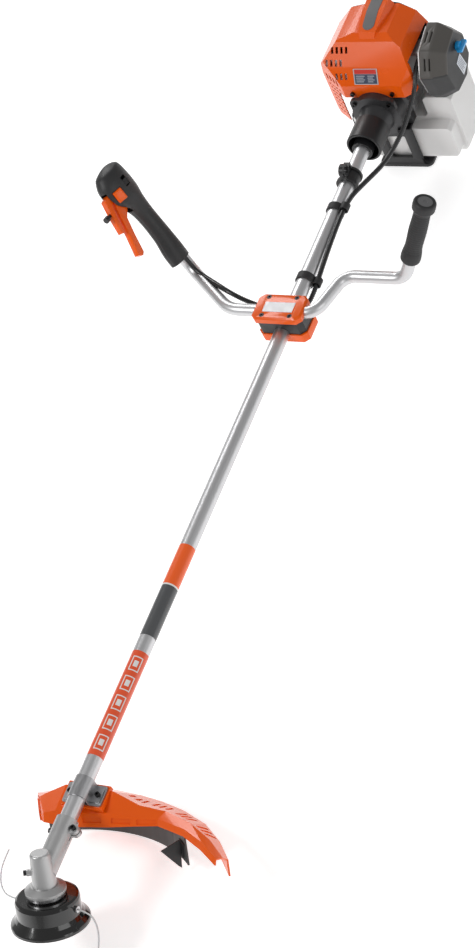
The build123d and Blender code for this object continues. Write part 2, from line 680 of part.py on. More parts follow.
def case_body():
    sections = []
    for z, mid, a, b in CASE_SECTIONS:
        sections.append(Pos(mid, 0, z) * Ellipse(a, b))
    body = loft([make_face(s.edges()) for s in sections])
    crown = body.edges().group_by(Axis.Z)[-1]
    body = fillet(crown, 9)
    body -= rod_z(BAR_R, CASE_FOOT - 1, BAR_ENDS[0])
    slot_half = TRIGGER_HALF + 1.5
    return body - block(20, 80, -slot_half, slot_half, 116, 173)


def pivot_pins():
    """The trigger's and the lockout's pins."""
    pins = rod_y(PIN_R, -PIN_HALF, PIN_HALF, PIVOT[0], PIVOT[1])
    return pins + rod_y(PIN_R, -PIN_HALF, PIN_HALF, LOCKOUT_PIVOT[0], LOCKOUT_PIVOT[1])


SWITCH_PLACE = Pos(38, 19, 156) * Rot(0, 0, -30)
SWITCH_HALF_W = 9.0
SWITCH_HALF_L = 11.0
SWITCH_TRAVEL = 5.0


def throttle_case_front():
    """The half on the thumb's side, with the stop switch's recess."""
    body = case_body() & block(-60, 90, 0, 60, -20, 220)
    body -= SWITCH_PLACE * block(-SWITCH_HALF_W - FREE, SWITCH_HALF_W + FREE, -3, 20,
                                 -SWITCH_HALF_L - SWITCH_TRAVEL - FREE, SWITCH_HALF_L + FREE)
    return grip_place(1) * (body - pivot_pins())


def throttle_case_rear():
    """The palm's half, with the two pins moulded on it."""
    body = case_body() & block(-60, 90, -60, 0, -20, 220)
    return grip_place(1) * (body + pivot_pins())


def throttle_trigger():
    """The long lever under the fingers, curled at its end."""
    lever = prism([(30, 151), (46, 151), (52, 140), (62, 110), (68, 90), (80, 56), (72, 50), (66, 54),
                   (56, 88), (46, 116), (31, 128)], Plane.XZ.offset(-TRIGGER_HALF), 2 * TRIGGER_HALF)
    return grip_place(1) * (lever - rod_y(PIN_R + RUN, -20, 20, PIVOT[0], PIVOT[1]))


BUTTON_Z = 140.0
BUTTON_STEM_R = 3.0


def trigger_lockout():
    """The short lever that lies over the trigger and has to be squeezed with it."""
    lever = prism([(37, 156), (37, 166), (50, 168), (62, 165), (72, 130), (77, 104), (71, 102),
                   (64, 128), (56, 150), (48, 155)], Plane.XZ.offset(-TRIGGER_HALF), 2 * TRIGGER_HALF)
    lever -= rod_y(PIN_R + RUN, -20, 20, LOCKOUT_PIVOT[0], LOCKOUT_PIVOT[1])
    return grip_place(1) * (lever - rod_x(BUTTON_STEM_R + SLIDE, 40, 90, 0, BUTTON_Z))


def stop_switch():
    body = block(-SWITCH_HALF_W, SWITCH_HALF_W, -3 + SLIDE, 4, -SWITCH_HALF_L, SWITCH_HALF_L)
    body = chamfer(body.faces().sort_by(Axis.Y)[-1].edges(), 2)
    return grip_place(1) * SWITCH_PLACE * body


def lock_button():
    """A push button whose stem slides through the lockout lever."""
    button = rod_x(BUTTON_STEM_R, 58, 77, 0, BUTTON_Z) + rod_x(5.5, 75.5, 84, 0, BUTTON_Z)
    return grip_place(1) * button


LOOM_D = 10.0
LOOM_ROUTE = (
    (1081, 195, 42), (1073, 178, 35), (1056, 149, 39), (1037, 112, 37), (1034, 78, 15), (1041, 45, -9),
    (1052, 14, -25), (1065, -10, -23), (1085, -21, -9), (1128, -21, -2), (1182, -20, 4),
    (1246, -20, 9), (1292, -22, 9), (1335, -36, 4),
)
LOOM_AT_ENGINE = (
    (1393, -53, -5), (1450, -72, 12), (1491, -82, 36), (1523, -87, 56), (1542, -87, 79), (1571, -87, 80),
)


def loom_points():
    place = grip_place(1)
    start = place * Pos(LOOM_SOCKET[0], LOOM_SOCKET[1], CASE_FOOT)
    below = place * Pos(LOOM_SOCKET[0], LOOM_SOCKET[1], CASE_FOOT - 14)
    first = tuple(start.position)
    second = tuple(below.position)
    at_engine = tuple((x + ENGINE_SHIFT, y, z) for x, y, z in LOOM_AT_ENGINE)
    return (first, second) + LOOM_ROUTE + at_engine


def throttle_conduit():
    return cord(loom_points(), LOOM_D, "throttle_conduit")


CLIP_STATIONS = ((1104.0, -21.0, -5.9), (1268.0, -20.8, 9.0))
CLIP_PLAY = 1.6


def conduit_clips():
    """Rubber bands that hold the conduit to the tube."""
    parts = []
    for x, y, z in CLIP_STATIONS:
        band = rod_x(TUBE_R + 3, x - 7, x + 7) + rod_x(LOOM_D / 2 + CLIP_PLAY + 2, x - 7, x + 7, y, z)
        band -= rod_x(TUBE_R, x - 8, x + 8)
        band -= rod_x(LOOM_D / 2 + CLIP_PLAY, x - 8, x + 8, y, z)
        parts.append(band)
    return Compound(children=parts)


# ---------------------------------------------------------------- engine, front end
COLLAR_WALL = 4.0
HUB_R = 27.0
CLUTCH_BEARING_X = 1482.0
DRUM_X = HOUSING_X + 8.0
DRUM_WALL = 3.0
DRUM_LENGTH = 24.0
DRUM_SHAFT_X0 = 1466.0
DRUM_SOCKET_X = 1480.0
FLYWHEEL_X = 1538.0
FLYWHEEL_T = 18.0
MAIN_BEARING_X = (CRANKCASE_X0, CRANKCASE_X1 - MAIN_BEARING[2])
CHAMBER_X0 = CRANKCASE_X0 + 13.0
CHAMBER_X1 = CRANKCASE_X1 - 13.0
CYL_X = (CHAMBER_X0 + CHAMBER_X1) / 2
CRANK_R = MAIN_BEARING[1] - RUN
PIN_Z = STROKE / 2
WEB_GAP = 5.0                 # half the gap between the crank webs
WEB_T = 7.0
CRANKCASE_TOP_Z = 42.0
CRANKCASE_HALF_Y = 44.0


def vibration_collar():
    """A cup round the tube's end with a soft inner sleeve, moulded as one."""
    x1 = COLLAR_X + COLLAR_LENGTH
    cup = rod_x(COLLAR_R, COLLAR_X, x1)
    cup = fillet(cup.edges().group_by(Axis.X)[0], 2)
    cup -= rod_x(COLLAR_R - COLLAR_WALL, COLLAR_X - 1, x1 - 8)
    cup += rod_x(TUBE_R + 5.5, COLLAR_X - 8, x1 - 4)
    return cup - rod_x(TUBE_R, COLLAR_X - 9, x1 + 1)


def clutch_housing():
    x0 = COLLAR_X + COLLAR_LENGTH
    x1 = CRANKCASE_X0
    bearing_x1 = CLUTCH_BEARING_X + CLUTCH_BEARING[2]
    drum_room = DRUM_R + 3
    body = turned_x([
        (TUBE_R, x0), (HUB_R, x0), (HUB_R + 7, HOUSING_X - 2), (drum_room + 5, HOUSING_X),
        (drum_room + 5, FLYWHEEL_X - 6), (HOUSING_R, FLYWHEEL_X - 2), (HOUSING_R, x1),
        (FLYWHEEL_R + 3, x1), (FLYWHEEL_R + 3, FLYWHEEL_X - 3), (drum_room, FLYWHEEL_X - 3),
        (drum_room, DRUM_X - 3), (10, DRUM_X - 3), (10, bearing_x1), (CLUTCH_BEARING[0], bearing_x1),
        (CLUTCH_BEARING[0], CLUTCH_BEARING_X), (TUBE_BORE_R, CLUTCH_BEARING_X),
        (TUBE_BORE_R, TUBE_X1 - ENGINE_SHIFT), (TUBE_R, TUBE_X1 - ENGINE_SHIFT),
    ])
    flange = block(HOUSING_X, HOUSING_X + 8, -44, 44, -42, 42)
    flange = fillet(flange.edges().filter_by(Axis.X), 9)
    foot = block(x1 - 18, x1, -40, 40, STAND_SEAT_Z, -20) - rod_x(FLYWHEEL_R + 3, x1 - 19, x1 + 1)
    lugs = rod_x(7, x0 + 4, HOUSING_X, HUB_R, 6) + rod_x(7, x0 + 4, HOUSING_X, -HUB_R, 6)
    body += (flange + foot + lugs) - rod_x(drum_room + 2, x0 - 1, x1 + 1)
    for y, z in HOUSING_BOLTS:
        body -= rod_x(SCREW_D / 2, HOUSING_X - 1, HOUSING_X + 12, y, z)
        body -= rod_x(SCREW_HEAD_D / 2 + SLIDE, HOUSING_X - 6, HOUSING_X, y, z)
    return body


STAND_SEAT_Z = -58.0
HOUSING_BOLTS = ((-35.0, 33.0), (35.0, 33.0), (-35.0, -33.0), (35.0, -33.0))


def clutch_drum():
    drum = rod_x(CLUTCH_BEARING[1] - RUN, DRUM_SHAFT_X0, DRUM_X)
    drum += rod_x(DRUM_R, DRUM_X, DRUM_X + DRUM_LENGTH)
    drum -= rod_x(DRUM_R - DRUM_WALL, DRUM_X + DRUM_WALL, DRUM_X + DRUM_LENGTH)
    return drum - rod_x(SHAFT_R, DRUM_SHAFT_X0, DRUM_SOCKET_X)


def clutch_shoes():
    x0 = DRUM_X + DRUM_WALL + 3
    x1 = DRUM_X + DRUM_LENGTH - 4
    disc = sleeve_x(DRUM_R - DRUM_WALL - 2.5, CRANK_R, x0, x1)
    parts = [disc & block(x0, x1, -60, 60, 1.5, 60), disc & block(x0, x1, -60, 60, -60, -1.5)]
    return Compound(children=parts)


def flywheel():
    x1 = FLYWHEEL_X + FLYWHEEL_T
    wheel = sleeve_x(FLYWHEEL_R, CRANK_R, FLYWHEEL_X + 8, x1)
    wheel += sleeve_x(14.0, CRANK_R, FLYWHEEL_X, x1)
    for k in range(16):
        fin = block(FLYWHEEL_X, FLYWHEEL_X + 9, 22, FLYWHEEL_R - 1, -1.2, 1.2)
        wheel += Rot(360 * k / 16, 0, 0) * fin
    return wheel


# ---------------------------------------------------------------- engine, block
def crankcase():
    body = block(CRANKCASE_X0, CRANKCASE_X1, -CRANKCASE_HALF_Y, CRANKCASE_HALF_Y, -50, CRANKCASE_TOP_Z)
    body = fillet(body.edges().filter_by(Axis.X), 14)
    for x in MAIN_BEARING_X:
        body -= rod_x(MAIN_BEARING[0], x, x + MAIN_BEARING[2])
    body -= rod_x(12, CRANKCASE_X0 - 1, CRANKCASE_X1 + 1)
    body -= rod_x(28, CHAMBER_X0, CHAMBER_X1)
    return body - rod_z(BORE_R, 0, CRANKCASE_TOP_Z + 1, CYL_X)


def crankshaft():
    shaft = rod_x(CRANK_R, DRUM_X + 6, 1642)
    for x0, x1 in ((CYL_X - WEB_GAP - WEB_T, CYL_X - WEB_GAP), (CYL_X + WEB_GAP, CYL_X + WEB_GAP + WEB_T)):
        shaft += rod_x(25, x0, x1)
    return shaft - block(CYL_X - WEB_GAP, CYL_X + WEB_GAP, -30, 30, -30, 30)


def cylinder_block():
    z0 = CRANKCASE_TOP_Z
    body = rod_z(BORE_R + 5, z0, CYLINDER_TOP_Z, CYL_X)
    body += block(CYL_X - 30, CYL_X + 30, -30, 30, z0, z0 + 6)
    for k in range(9):
        z = z0 + 14 + 7 * k
        fin = block(CYL_X - 34, CYL_X + 34, -40, 40, z, z + 2.2)
        body += fillet(fin.edges().filter_by(Axis.Z), 12)
    body += block(CYL_X - 16, CYL_X + 16, -46, 0, 54, 78)
    body += block(CYL_X - 18, CYL_X + 18, 0, 46, 54, 82)
    body -= rod_z(BORE_R + RUN, z0 - 1, CYLINDER_TOP_Z - 8, CYL_X)
    body -= rod_z(PLUG_R, CYLINDER_TOP_Z - 10, CYLINDER_TOP_Z + 1, CYL_X)
    body -= rod_y(8, -47, -10, CYL_X, 66)
    return body - rod_y(9, 10, 47, CYL_X, 68)


PLUG_R = 6.0


def piston_and_rod():
    """Piston, gudgeon pin and rod with its crank pin, stopped at the top of the stroke."""
    pin_z = PIN_Z + ROD_LENGTH
    piston = rod_z(BORE_R, pin_z - 14, pin_z + 16, CYL_X)
    piston -= rod_z(BORE_R - 3, pin_z - 15, pin_z + 12, CYL_X)
    for dz in (9.5, 12.5):
        piston -= Pos(CYL_X, 0, 0) * ring(BORE_R + 1, BORE_R - 1.2, pin_z + dz, pin_z + dz + 1.2)
    piston += rod_x(5.5, CYL_X - BORE_R + 2, CYL_X - 6, 0, pin_z)
    piston += rod_x(5.5, CYL_X + 6, CYL_X + BORE_R - 2, 0, pin_z)
    piston -= rod_x(4, CYL_X - 30, CYL_X + 30, 0, pin_z)
    gudgeon = rod_x(4, CYL_X - 16, CYL_X + 16, 0, pin_z)
    rod = rod_x(8, CYL_X - 4, CYL_X + 4, 0, PIN_Z) + rod_x(7, CYL_X - 4, CYL_X + 4, 0, pin_z)
    rod += block(CYL_X - 3, CYL_X + 3, -4, 4, PIN_Z, pin_z)
    rod -= rod_x(4, CYL_X - 30, CYL_X + 30, 0, pin_z)
    rod += rod_x(5, CYL_X - WEB_GAP + 0.3, CYL_X + WEB_GAP - 0.3, 0, PIN_Z)
    return Compound(children=[piston, gudgeon, rod])


def spark_plug():
    """Plug in the head with its rubber boot."""
    top = CYLINDER_TOP_Z
    plug = rod_z(PLUG_R, top - 8, top, CYL_X) + rod_z(9, top, top + 8, CYL_X)
    boot = rod_z(10, top + 8, top + 21, CYL_X)
    return Compound(children=[plug, fillet(boot.edges().group_by(Axis.Z)[-1], 3)])


def muffler():
    box = block(CYL_X - 28, CYL_X + 30, 46, 92, 14, 92)
    box = fillet(box.edges().filter_by(Axis.Y), 12)
    box -= block(CYL_X - 25, CYL_X + 27, 49, 89, 17, 89)
    return box - rod_y(7, 44, 50, CYL_X, 68)


def carburettor():
    body = block(CYL_X - 20, CYL_X + 20, FILTER_IN_Y, -46, 44, 88)
    body = fillet(body.edges().filter_by(Axis.Y), 6)
    body += rod_z(BULB_R + 2.5, 32, 45, CYL_X, -66)
    body += filter_plate()
    body -= rod_y(8, FILTER_IN_Y - 1, -45, CYL_X, 66)
    return body - rod_z(BULB_R + SLIDE, 31, 42, CYL_X, -66)


BULB_R = 6.5


def primer_bulb():
    dome = rod_z(BULB_R, 25, 35, CYL_X, -66)
    return fillet(dome.edges().group_by(Axis.Z)[0], 3.5)


# ---------------------------------------------------------------- starter
STARTER_R = 50.0
REEL_X = 1646.0


def starter_housing():
    """A rear plate that closes the cover, with a slotted cup round the reel."""
    rear = make_face(Plane.YZ * Polyline(*COVER_FRONT, close=True))
    rear = offset(rear, -COVER_WALL - 1, kind=Kind.INTERSECTION)
    plate = Pos(COVER_X1 - 0.5, 0, 0) * extrude(rear, 3.5, dir=(1, 0, 0))
    cup = rod_x(STARTER_R, CRANKCASE_X1, STARTER_X1)
    cup = fillet(cup.edges().group_by(Axis.X)[-1], 6)
    plate -= block(COVER_X1 - 1, COVER_X1 + 4, COVER_Y0, TANK_SHOULDER_Y + 6, -60, 6)
    body = plate + cup - rod_x(STARTER_R - 3, CRANKCASE_X1 - 1, STARTER_X1 - 3)
    for k in range(10):
        body -= Rot(360 * k / 10, 0, 0) * block(STARTER_X1 - 4, STARTER_X1 + 1, 20, 38, -2.5, 2.5)
    body += rod_x(POST_R, REEL_X + 1, STARTER_X1 - 2)
    return body - rod_z(2.2, STARTER_R - 6, STARTER_R + 2, REEL_X + 20)


POST_R = 6.0


def starter_reel():
    reel = sleeve_x(30, POST_R + RUN, REEL_X + 2, REEL_X + 12)
    return reel - sleeve_x(31, 23, REEL_X + 4, REEL_X + 10)


def starter_grip():
    grip = block(REEL_X + 12, REEL_X + 28, -26, 26, STARTER_R + 2, STARTER_R + 17)
    grip = fillet(grip.edges().filter_by(Axis.Y), 6)
    return grip + rod_z(2.0, STARTER_R - 5, STARTER_R + 3, REEL_X + 20)


# ---------------------------------------------------------------- covers
# Side outline of the cover, (along the shaft, up), and its front outline, (across, up).
COVER_X1 = 1652.0
COVER_SIDE = ((1516, -38), (1516, 62), (1532, 92), (1562, 128), (1592, 146), (1652, 152),
              (1652, -38))
COVER_FRONT = ((-80, -38), (-80, 92), (-66, 120), (-38, 139), (-24, 142), (-20, 152), (20, 152),
               (24, 140), (62, 132), (100, 92), (113, 44), (113, -10), (104, -38))
COVER_PLAN = ((1516, -62), (1516, 58), (1530, 84), (1552, 108), (1590, 113), (1652, 113),
              (1652, -80), (1532, -80))


def cover_form(inset):
    """The cover's outer form, or with an inset the space inside it."""
    side = offset(make_face(Plane.XZ * Polyline(*COVER_SIDE, close=True)), -inset, kind=Kind.INTERSECTION)
    front = offset(make_face(Plane.YZ * Polyline(*COVER_FRONT, close=True)), -inset, kind=Kind.INTERSECTION)
    plan = offset(make_face(Plane.XY * Polyline(*COVER_PLAN, close=True)), -inset, kind=Kind.INTERSECTION)
    body = extrude(side, 200, both=True, dir=(0, 1, 0))
    body &= extrude(front, 2000, dir=(1, 0, 0))
    return body & Pos(0, 0, -100) * extrude(plan, 300, dir=(0, 0, 1))


def engine_cover():
    shell = cover_form(0.0) - cover_form(COVER_WALL)
    shell -= block(1500, 1700, COVER_Y0 + COVER_WALL, COVER_Y1 - COVER_WALL, COVER_SIDE_FOOT_Z - 1, -20)
    shell -= block(1500, 1546, COVER_Y0 - 1, 76, COVER_SIDE_FOOT_Z - 1, COVER_FRONT_FOOT_Z)
    shell -= block(1540, 1680, COVER_Y0 - 1, 90, COVER_SIDE_FOOT_Z - 1, 6)
    shell -= block(1536, 1660, COVER_Y0 - 1, COVER_Y0 + COVER_WALL + 1, 0, 96)
    shell -= block(COVER_X1 - COVER_WALL - 0.5, COVER_X1 + 1, -78, 111, -60, 149)
    shell -= rod_x(HOUSING_R + FREE, 1500, CRANKCASE_X0)
    for row in range(3):
        for k in range(5):
            x = 1560 + 15 * k
            z = 64 + 20 * row
            shell -= Pos(x, 112 - 9 * max(0, row - 1), z) * Box(5, 60, 13)
    for row in range(6):
        z = 42 - 11 * row
        shell -= block(1556, 1586, 104, 120, z - 2, z + 2)
        shell -= block(1594, 1624, 104, 120, z - 2, z + 2)
    for y in COVER_SCREW_Y:
        shell -= rod_x(SCREW_D / 2, 1510, 1525, y, COVER_SCREW_Z)
    return shell


COVER_SCREW_Y = (-40.0, 40.0)
COVER_SCREW_Z = 44.0
COVER_FACE_X = 1516.0

FILTER_OUT_Y = -146.0
FILTER_IN_Y = -96.0
FILTER_SIDE = ((1556, -6), (1540, 14), (1530, 66), (1560, 106),
               (1622, 118), (1656, 74), (1652, 18), (1612, -10))
FILTER_MID = (1591.0, 47.0)
FILTER_PLATE_T = 4.0


def filter_form(inset):
    """A box whose outer face is smaller than its inner one."""
    mid_x, mid_z = FILTER_MID

    def face(y, shrink):
        points = [(mid_x + (x - mid_x) * shrink, y, mid_z + (z - mid_z) * shrink) for x, z in FILTER_SIDE]
        return make_face(Polyline(*points, close=True))

    k = 1 - inset / 45
    return loft([face(FILTER_IN_Y, k), face(FILTER_IN_Y - 30, k), face(FILTER_OUT_Y + inset, k * 0.82)],
                ruled=True)


def filter_plate():
    """The plate the filter cover closes on, cast with the carburettor's flange."""
    outline = [(FILTER_MID[0] + (x - FILTER_MID[0]) * 0.9, FILTER_MID[1] + (z - FILTER_MID[1]) * 0.9)
               for x, z in FILTER_SIDE]
    return prism(outline, Plane.XZ.offset(-FILTER_IN_Y - FILTER_PLATE_T), FILTER_PLATE_T)


def filter_cover():
    shell = filter_form(0.0) - filter_form(3.0)
    shell -= rod_y(KNOB_STEM_R + SLIDE, FILTER_OUT_Y - 5, FILTER_OUT_Y + 8, KNOB_X, KNOB_Z)
    return shell


KNOB_X = 1606.0
KNOB_Z = 74.0
KNOB_STEM_R = 4.0


def filter_element():
    foam = block(1562, 1622, -120, FILTER_IN_Y, 14, 88)
    foam = fillet(foam.edges().filter_by(Axis.Y), 10)
    return foam - rod_y(KNOB_STEM_R + FREE, -121, FILTER_IN_Y + 1, KNOB_X, KNOB_Z)


def filter_knob():
    """A winged knob on a stem through the filter cover."""
    knob = rod_y(9, FILTER_OUT_Y - 9, FILTER_OUT_Y - 0.6, KNOB_X, KNOB_Z)
    knob += rod_y(KNOB_STEM_R, FILTER_OUT_Y - 1, FILTER_IN_Y - 1, KNOB_X, KNOB_Z)
    wing = block(KNOB_X - 15, KNOB_X + 15, FILTER_OUT_Y - 16, FILTER_OUT_Y - 5, KNOB_Z - 2.5, KNOB_Z + 2.5)
    return knob + fillet(wing.edges().filter_by(Axis.Z), 2)


# ---------------------------------------------------------------- tank and stand
CAP_X = 1600.0
CAP_Z = -96.0
CAP_R = 19.0
TANK_Y0 = -120.0
TANK_Y1 = 96.0
TANK_TOP_Z = -62.0
TANK_SHOULDER_Z = -13.0
TANK_SHOULDER_Y = -62.0
TANK_CORNER = 7.0


def tank_form(inset):
    """The tank's outer form, or with an inset the space inside it."""
    foot = STAND_TOP_Z + inset
    x0 = TANK_X0 + 26 + inset
    x1 = TANK_X1 - inset
    y0 = TANK_Y0 + inset
    y1 = TANK_Y1 - inset
    body = block(x0, x1, y0, y1, foot, TANK_TOP_Z - inset)
    body += block(x0, x1, y0, TANK_SHOULDER_Y - inset, foot, TANK_SHOULDER_Z - inset)
    body += block(TANK_X0 + inset, x1, y0 + 8, y1 - 8, foot + 8, TANK_TOP_Z - 6 - inset)
    return chamfer(body.edges().filter_by(Axis.X), TANK_CORNER - 0.6 * inset)


def fuel_tank():
    shell = tank_form(0.0) - tank_form(TANK_WALL)
    shell += rod_y(CAP_R - 4, TANK_Y1 - 2, TANK_Y1 + 8, CAP_X, CAP_Z)
    return shell - rod_y(CAP_R - 7, TANK_Y1 - 20, TANK_Y1 + 9, CAP_X, CAP_Z)


def fuel_cap():
    cap = rod_y(CAP_R, TANK_Y1 + 1, TANK_Y1 + 15, CAP_X, CAP_Z)
    for k in range(12):
        turn = 2 * math.pi * k / 12
        cap -= rod_y(2, TANK_Y1, TANK_Y1 + 16, CAP_X + (CAP_R + 0.6) * math.cos(turn),
                     CAP_Z + (CAP_R + 0.6) * math.sin(turn))
    return cap - rod_y(CAP_R - 4 + SLIDE, TANK_Y1, TANK_Y1 + 8 + SLIDE, CAP_X, CAP_Z)


def tank_stand():
    """A moulded skid under the tank with an upright to the clutch housing."""
    plate = block(TANK_X0 - 13, TANK_X1 - 6, -STAND_Y, STAND_Y, GROUND_Z, STAND_TOP_Z)
    plate = fillet(plate.edges().filter_by(Axis.Z), 12)
    plate -= block(TANK_X0 + 22, TANK_X1 - 34, -STAND_Y + 20, STAND_Y - 20, GROUND_Z - 1, STAND_TOP_Z + 1)
    upright = block(TANK_X0 - 11, TANK_X0 - 3, -38, 38, STAND_TOP_Z, STAND_SEAT_Z - 8)
    upright -= block(TANK_X0 - 12, TANK_X0 - 2, -20, 20, STAND_TOP_Z + 16, STAND_SEAT_Z - 20)
    shelf = block(TANK_X0 - 11, CRANKCASE_X0, -38, 38, STAND_SEAT_Z - 8 + 4, STAND_SEAT_Z)
    shelf += block(TANK_X0 - 11, TANK_X0 - 3, -38, 38, STAND_SEAT_Z - 8, STAND_SEAT_Z)
    return plate + upright + shelf


# ---------------------------------------------------------------- fasteners
def m5_screws():
    """All M5 socket screws: clamp, guard bracket and skirt, hanger, gearbox, housing and cover."""
    places = [Pos(BAR_X + sx * CLAMP_SCREW_X, sy * CLAMP_SCREW_Y, CAP_TOP_Z - 5)
              for sx in (-1, 1) for sy in (-1, 1)]
    places += [Pos(BRACKET_X, y, -TUBE_R + SADDLE_T) for y in (-BRACKET_SCREW_Y, BRACKET_SCREW_Y)]
    places += [HEAD * Rot(0, 0, turn) * Pos(SKIRT_R - SKIRT_T - 0.1, 0, GUARD_SCREW_H) * Rot(0, -90, 0)
               for turn in GUARD_SCREW_TURNS]
    places += [aimed((HANGER_X + 10, 6.1, TUBE_R + 9.5), (0, 1, 0), (1, 0, 0))]
    places += [Pos(LUG_X, LUG_Y, 7.5)]
    places += [aimed((-22, TUBE_R + 4.5, 0), (0, 1, 0), (1, 0, 0))]
    places += [HEAD * GREASE_PLUG * Pos(0, 0, 24)]
    places += [aimed((HOUSING_X + ENGINE_SHIFT, y, z), (-1, 0, 0)) for y, z in HOUSING_BOLTS]
    places += [aimed((COVER_FACE_X + ENGINE_SHIFT, y, COVER_SCREW_Z), (-1, 0, 0)) for y in COVER_SCREW_Y]
    lengths = [44] * 4 + [8] * 2 + [7] * 3 + [14, 16, 4, 6] + [12] * 4 + [8] * 2
    return Compound(children=[place * socket_screw(length) for place, length in zip(places, lengths)])


# ---------------------------------------------------------------- export
NODES = (
    gearbox_housing, pinion_gear, bevel_gear, output_spindle, ball_bearings, drive_flange,
    head_housing, line_eyelets, head_cover, bump_knob, line_spool, spool_spring,
    cutting_line_a, cutting_line_b, guard_shell, guard_skirt, line_cutter, guard_bracket,
    guard_saddle, shaft_tube, drive_shaft, shaft_bushes, harness_hanger, handlebar, clamp_cap,
    clamp_block, clamp_base, plain_grip, throttle_case_front, throttle_case_rear,
    throttle_trigger, trigger_lockout, stop_switch, lock_button, throttle_conduit,
    conduit_clips, vibration_collar, clutch_housing, clutch_drum, clutch_shoes, flywheel,
    crankcase, crankshaft, cylinder_block, piston_and_rod, spark_plug, muffler, carburettor,
    primer_bulb, starter_housing, starter_reel, starter_grip, engine_cover, filter_cover,
    filter_element, filter_knob, fuel_tank, fuel_cap, tank_stand, m5_screws,
)
AT_ENGINE = (
    vibration_collar, clutch_housing, clutch_drum, clutch_shoes, flywheel, crankcase, crankshaft,
    cylinder_block, piston_and_rod, spark_plug, muffler, carburettor, primer_bulb, starter_housing,
    starter_reel, starter_grip, engine_cover, filter_cover, filter_element, filter_knob, fuel_tank,
    fuel_cap, tank_stand,
)
PLACE = Pos(-MID_X, -MID_Y, AXIS_HEIGHT)
PLACE_ENGINE = PLACE * Pos(ENGINE_SHIFT, 0, 0)


def main():
    os.makedirs("parts", exist_ok=True)
    for node in NODES:
        place = PLACE_ENGINE if node in AT_ENGINE else PLACE
        export_step(place * node(), "parts/" + node.__name__ + ".step")


if __name__ == "__main__":
    main()
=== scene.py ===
import json
import math

import bmesh
import bpy
from bpy.props import FloatProperty, FloatVectorProperty, IntProperty, PointerProperty
from mathutils import Matrix, Vector


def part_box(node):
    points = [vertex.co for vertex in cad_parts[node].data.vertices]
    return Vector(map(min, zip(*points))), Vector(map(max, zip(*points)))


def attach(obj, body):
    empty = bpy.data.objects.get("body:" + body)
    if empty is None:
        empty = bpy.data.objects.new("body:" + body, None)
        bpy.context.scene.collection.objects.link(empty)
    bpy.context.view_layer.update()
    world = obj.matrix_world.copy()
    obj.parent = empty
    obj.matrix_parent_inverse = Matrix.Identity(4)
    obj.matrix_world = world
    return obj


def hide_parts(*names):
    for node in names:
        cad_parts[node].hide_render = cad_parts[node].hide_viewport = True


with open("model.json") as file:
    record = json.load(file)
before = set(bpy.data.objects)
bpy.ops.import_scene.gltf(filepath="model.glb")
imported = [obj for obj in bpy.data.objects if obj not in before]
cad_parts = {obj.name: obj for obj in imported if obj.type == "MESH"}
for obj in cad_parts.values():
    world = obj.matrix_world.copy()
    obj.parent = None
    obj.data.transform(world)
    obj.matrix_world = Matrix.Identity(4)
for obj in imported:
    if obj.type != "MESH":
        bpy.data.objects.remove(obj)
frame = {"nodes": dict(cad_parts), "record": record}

bl_info = {
    "name": "String Trimmer Finish",
    "version": (1, 0, 0),
    "blender": (4, 5, 0),
    "location": "View3D > Sidebar > Trimmer",
    "description": "Covers, grips, conduit, labels and finishes of a petrol string trimmer",
    "category": "Object",
}

# ------------------------------------------------------------------ places
# Places are in millimetres from the gearbox mouth, on the shaft's axis: X toward the
# engine, Y to the user's right, Z up.
MM = 0.001
TUBE_LO, TUBE_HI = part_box("shaft_tube")
TUBE_IN_GEARBOX = 45.0
SHAFT = Vector((TUBE_LO.x + TUBE_IN_GEARBOX * MM, (TUBE_LO.y + TUBE_HI.y) / 2, (TUBE_LO.z + TUBE_HI.z) / 2))
TUBE_R = (TUBE_HI.z - TUBE_LO.z) / 2 / MM
HEAD_TILT = math.radians(30.0)
GRIP_AXIS = (0.197, 0.428, 0.882)
GRIP_FOOT = (1098.5, 225.4, 67.6)
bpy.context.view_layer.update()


def at(x, y, z):
    return SHAFT + Vector((x, y, z)) * MM


def placed(origin, x_dir, z_dir):
    """A matrix that takes millimetres in a local frame to metres in the row frame."""
    z = Vector(z_dir).normalized()
    x = Vector(x_dir)
    x = (x - z * x.dot(z)).normalized()
    turn = Matrix((x, z.cross(x), z)).transposed().to_4x4()
    return Matrix.Translation(at(*origin)) @ turn @ Matrix.Scale(MM, 4)


WORLD = placed((0, 0, 0), (1, 0, 0), (0, 0, 1))
HEAD = placed((-98, 0, 0), (math.cos(HEAD_TILT), 0, -math.sin(HEAD_TILT)),
              (math.sin(HEAD_TILT), 0, math.cos(HEAD_TILT)))


def grip_frame(side):
    """Z up the grip, X toward the fingers; side is 1 for the throttle grip."""
    axis = (GRIP_AXIS[0], side * GRIP_AXIS[1], GRIP_AXIS[2])
    return placed((GRIP_FOOT[0], side * GRIP_FOOT[1], GRIP_FOOT[2]), (-1, 0, 0), axis)


# ------------------------------------------------------------------ settings
def colour(name, words, value):
    return FloatVectorProperty(name=name, description=words, subtype="COLOR", size=3,
                               min=0.0, max=1.0, default=value)


class TrimmerColours(bpy.types.PropertyGroup):
    orange: colour("Orange", "Glossy moulded covers and guard", (0.87, 0.110, 0.003))
    housing: colour("Housing grey", "Die cast clutch housing", (0.050, 0.050, 0.052))
    filter_top: colour("Filter grey", "Warm grey of the filter cover", (0.085, 0.079, 0.072))
    tank: colour("Tank", "Milky fuel tank", (0.84, 0.83, 0.82))
    knob: colour("Blue", "Filter knob and primer", (0.01, 0.30, 0.68))


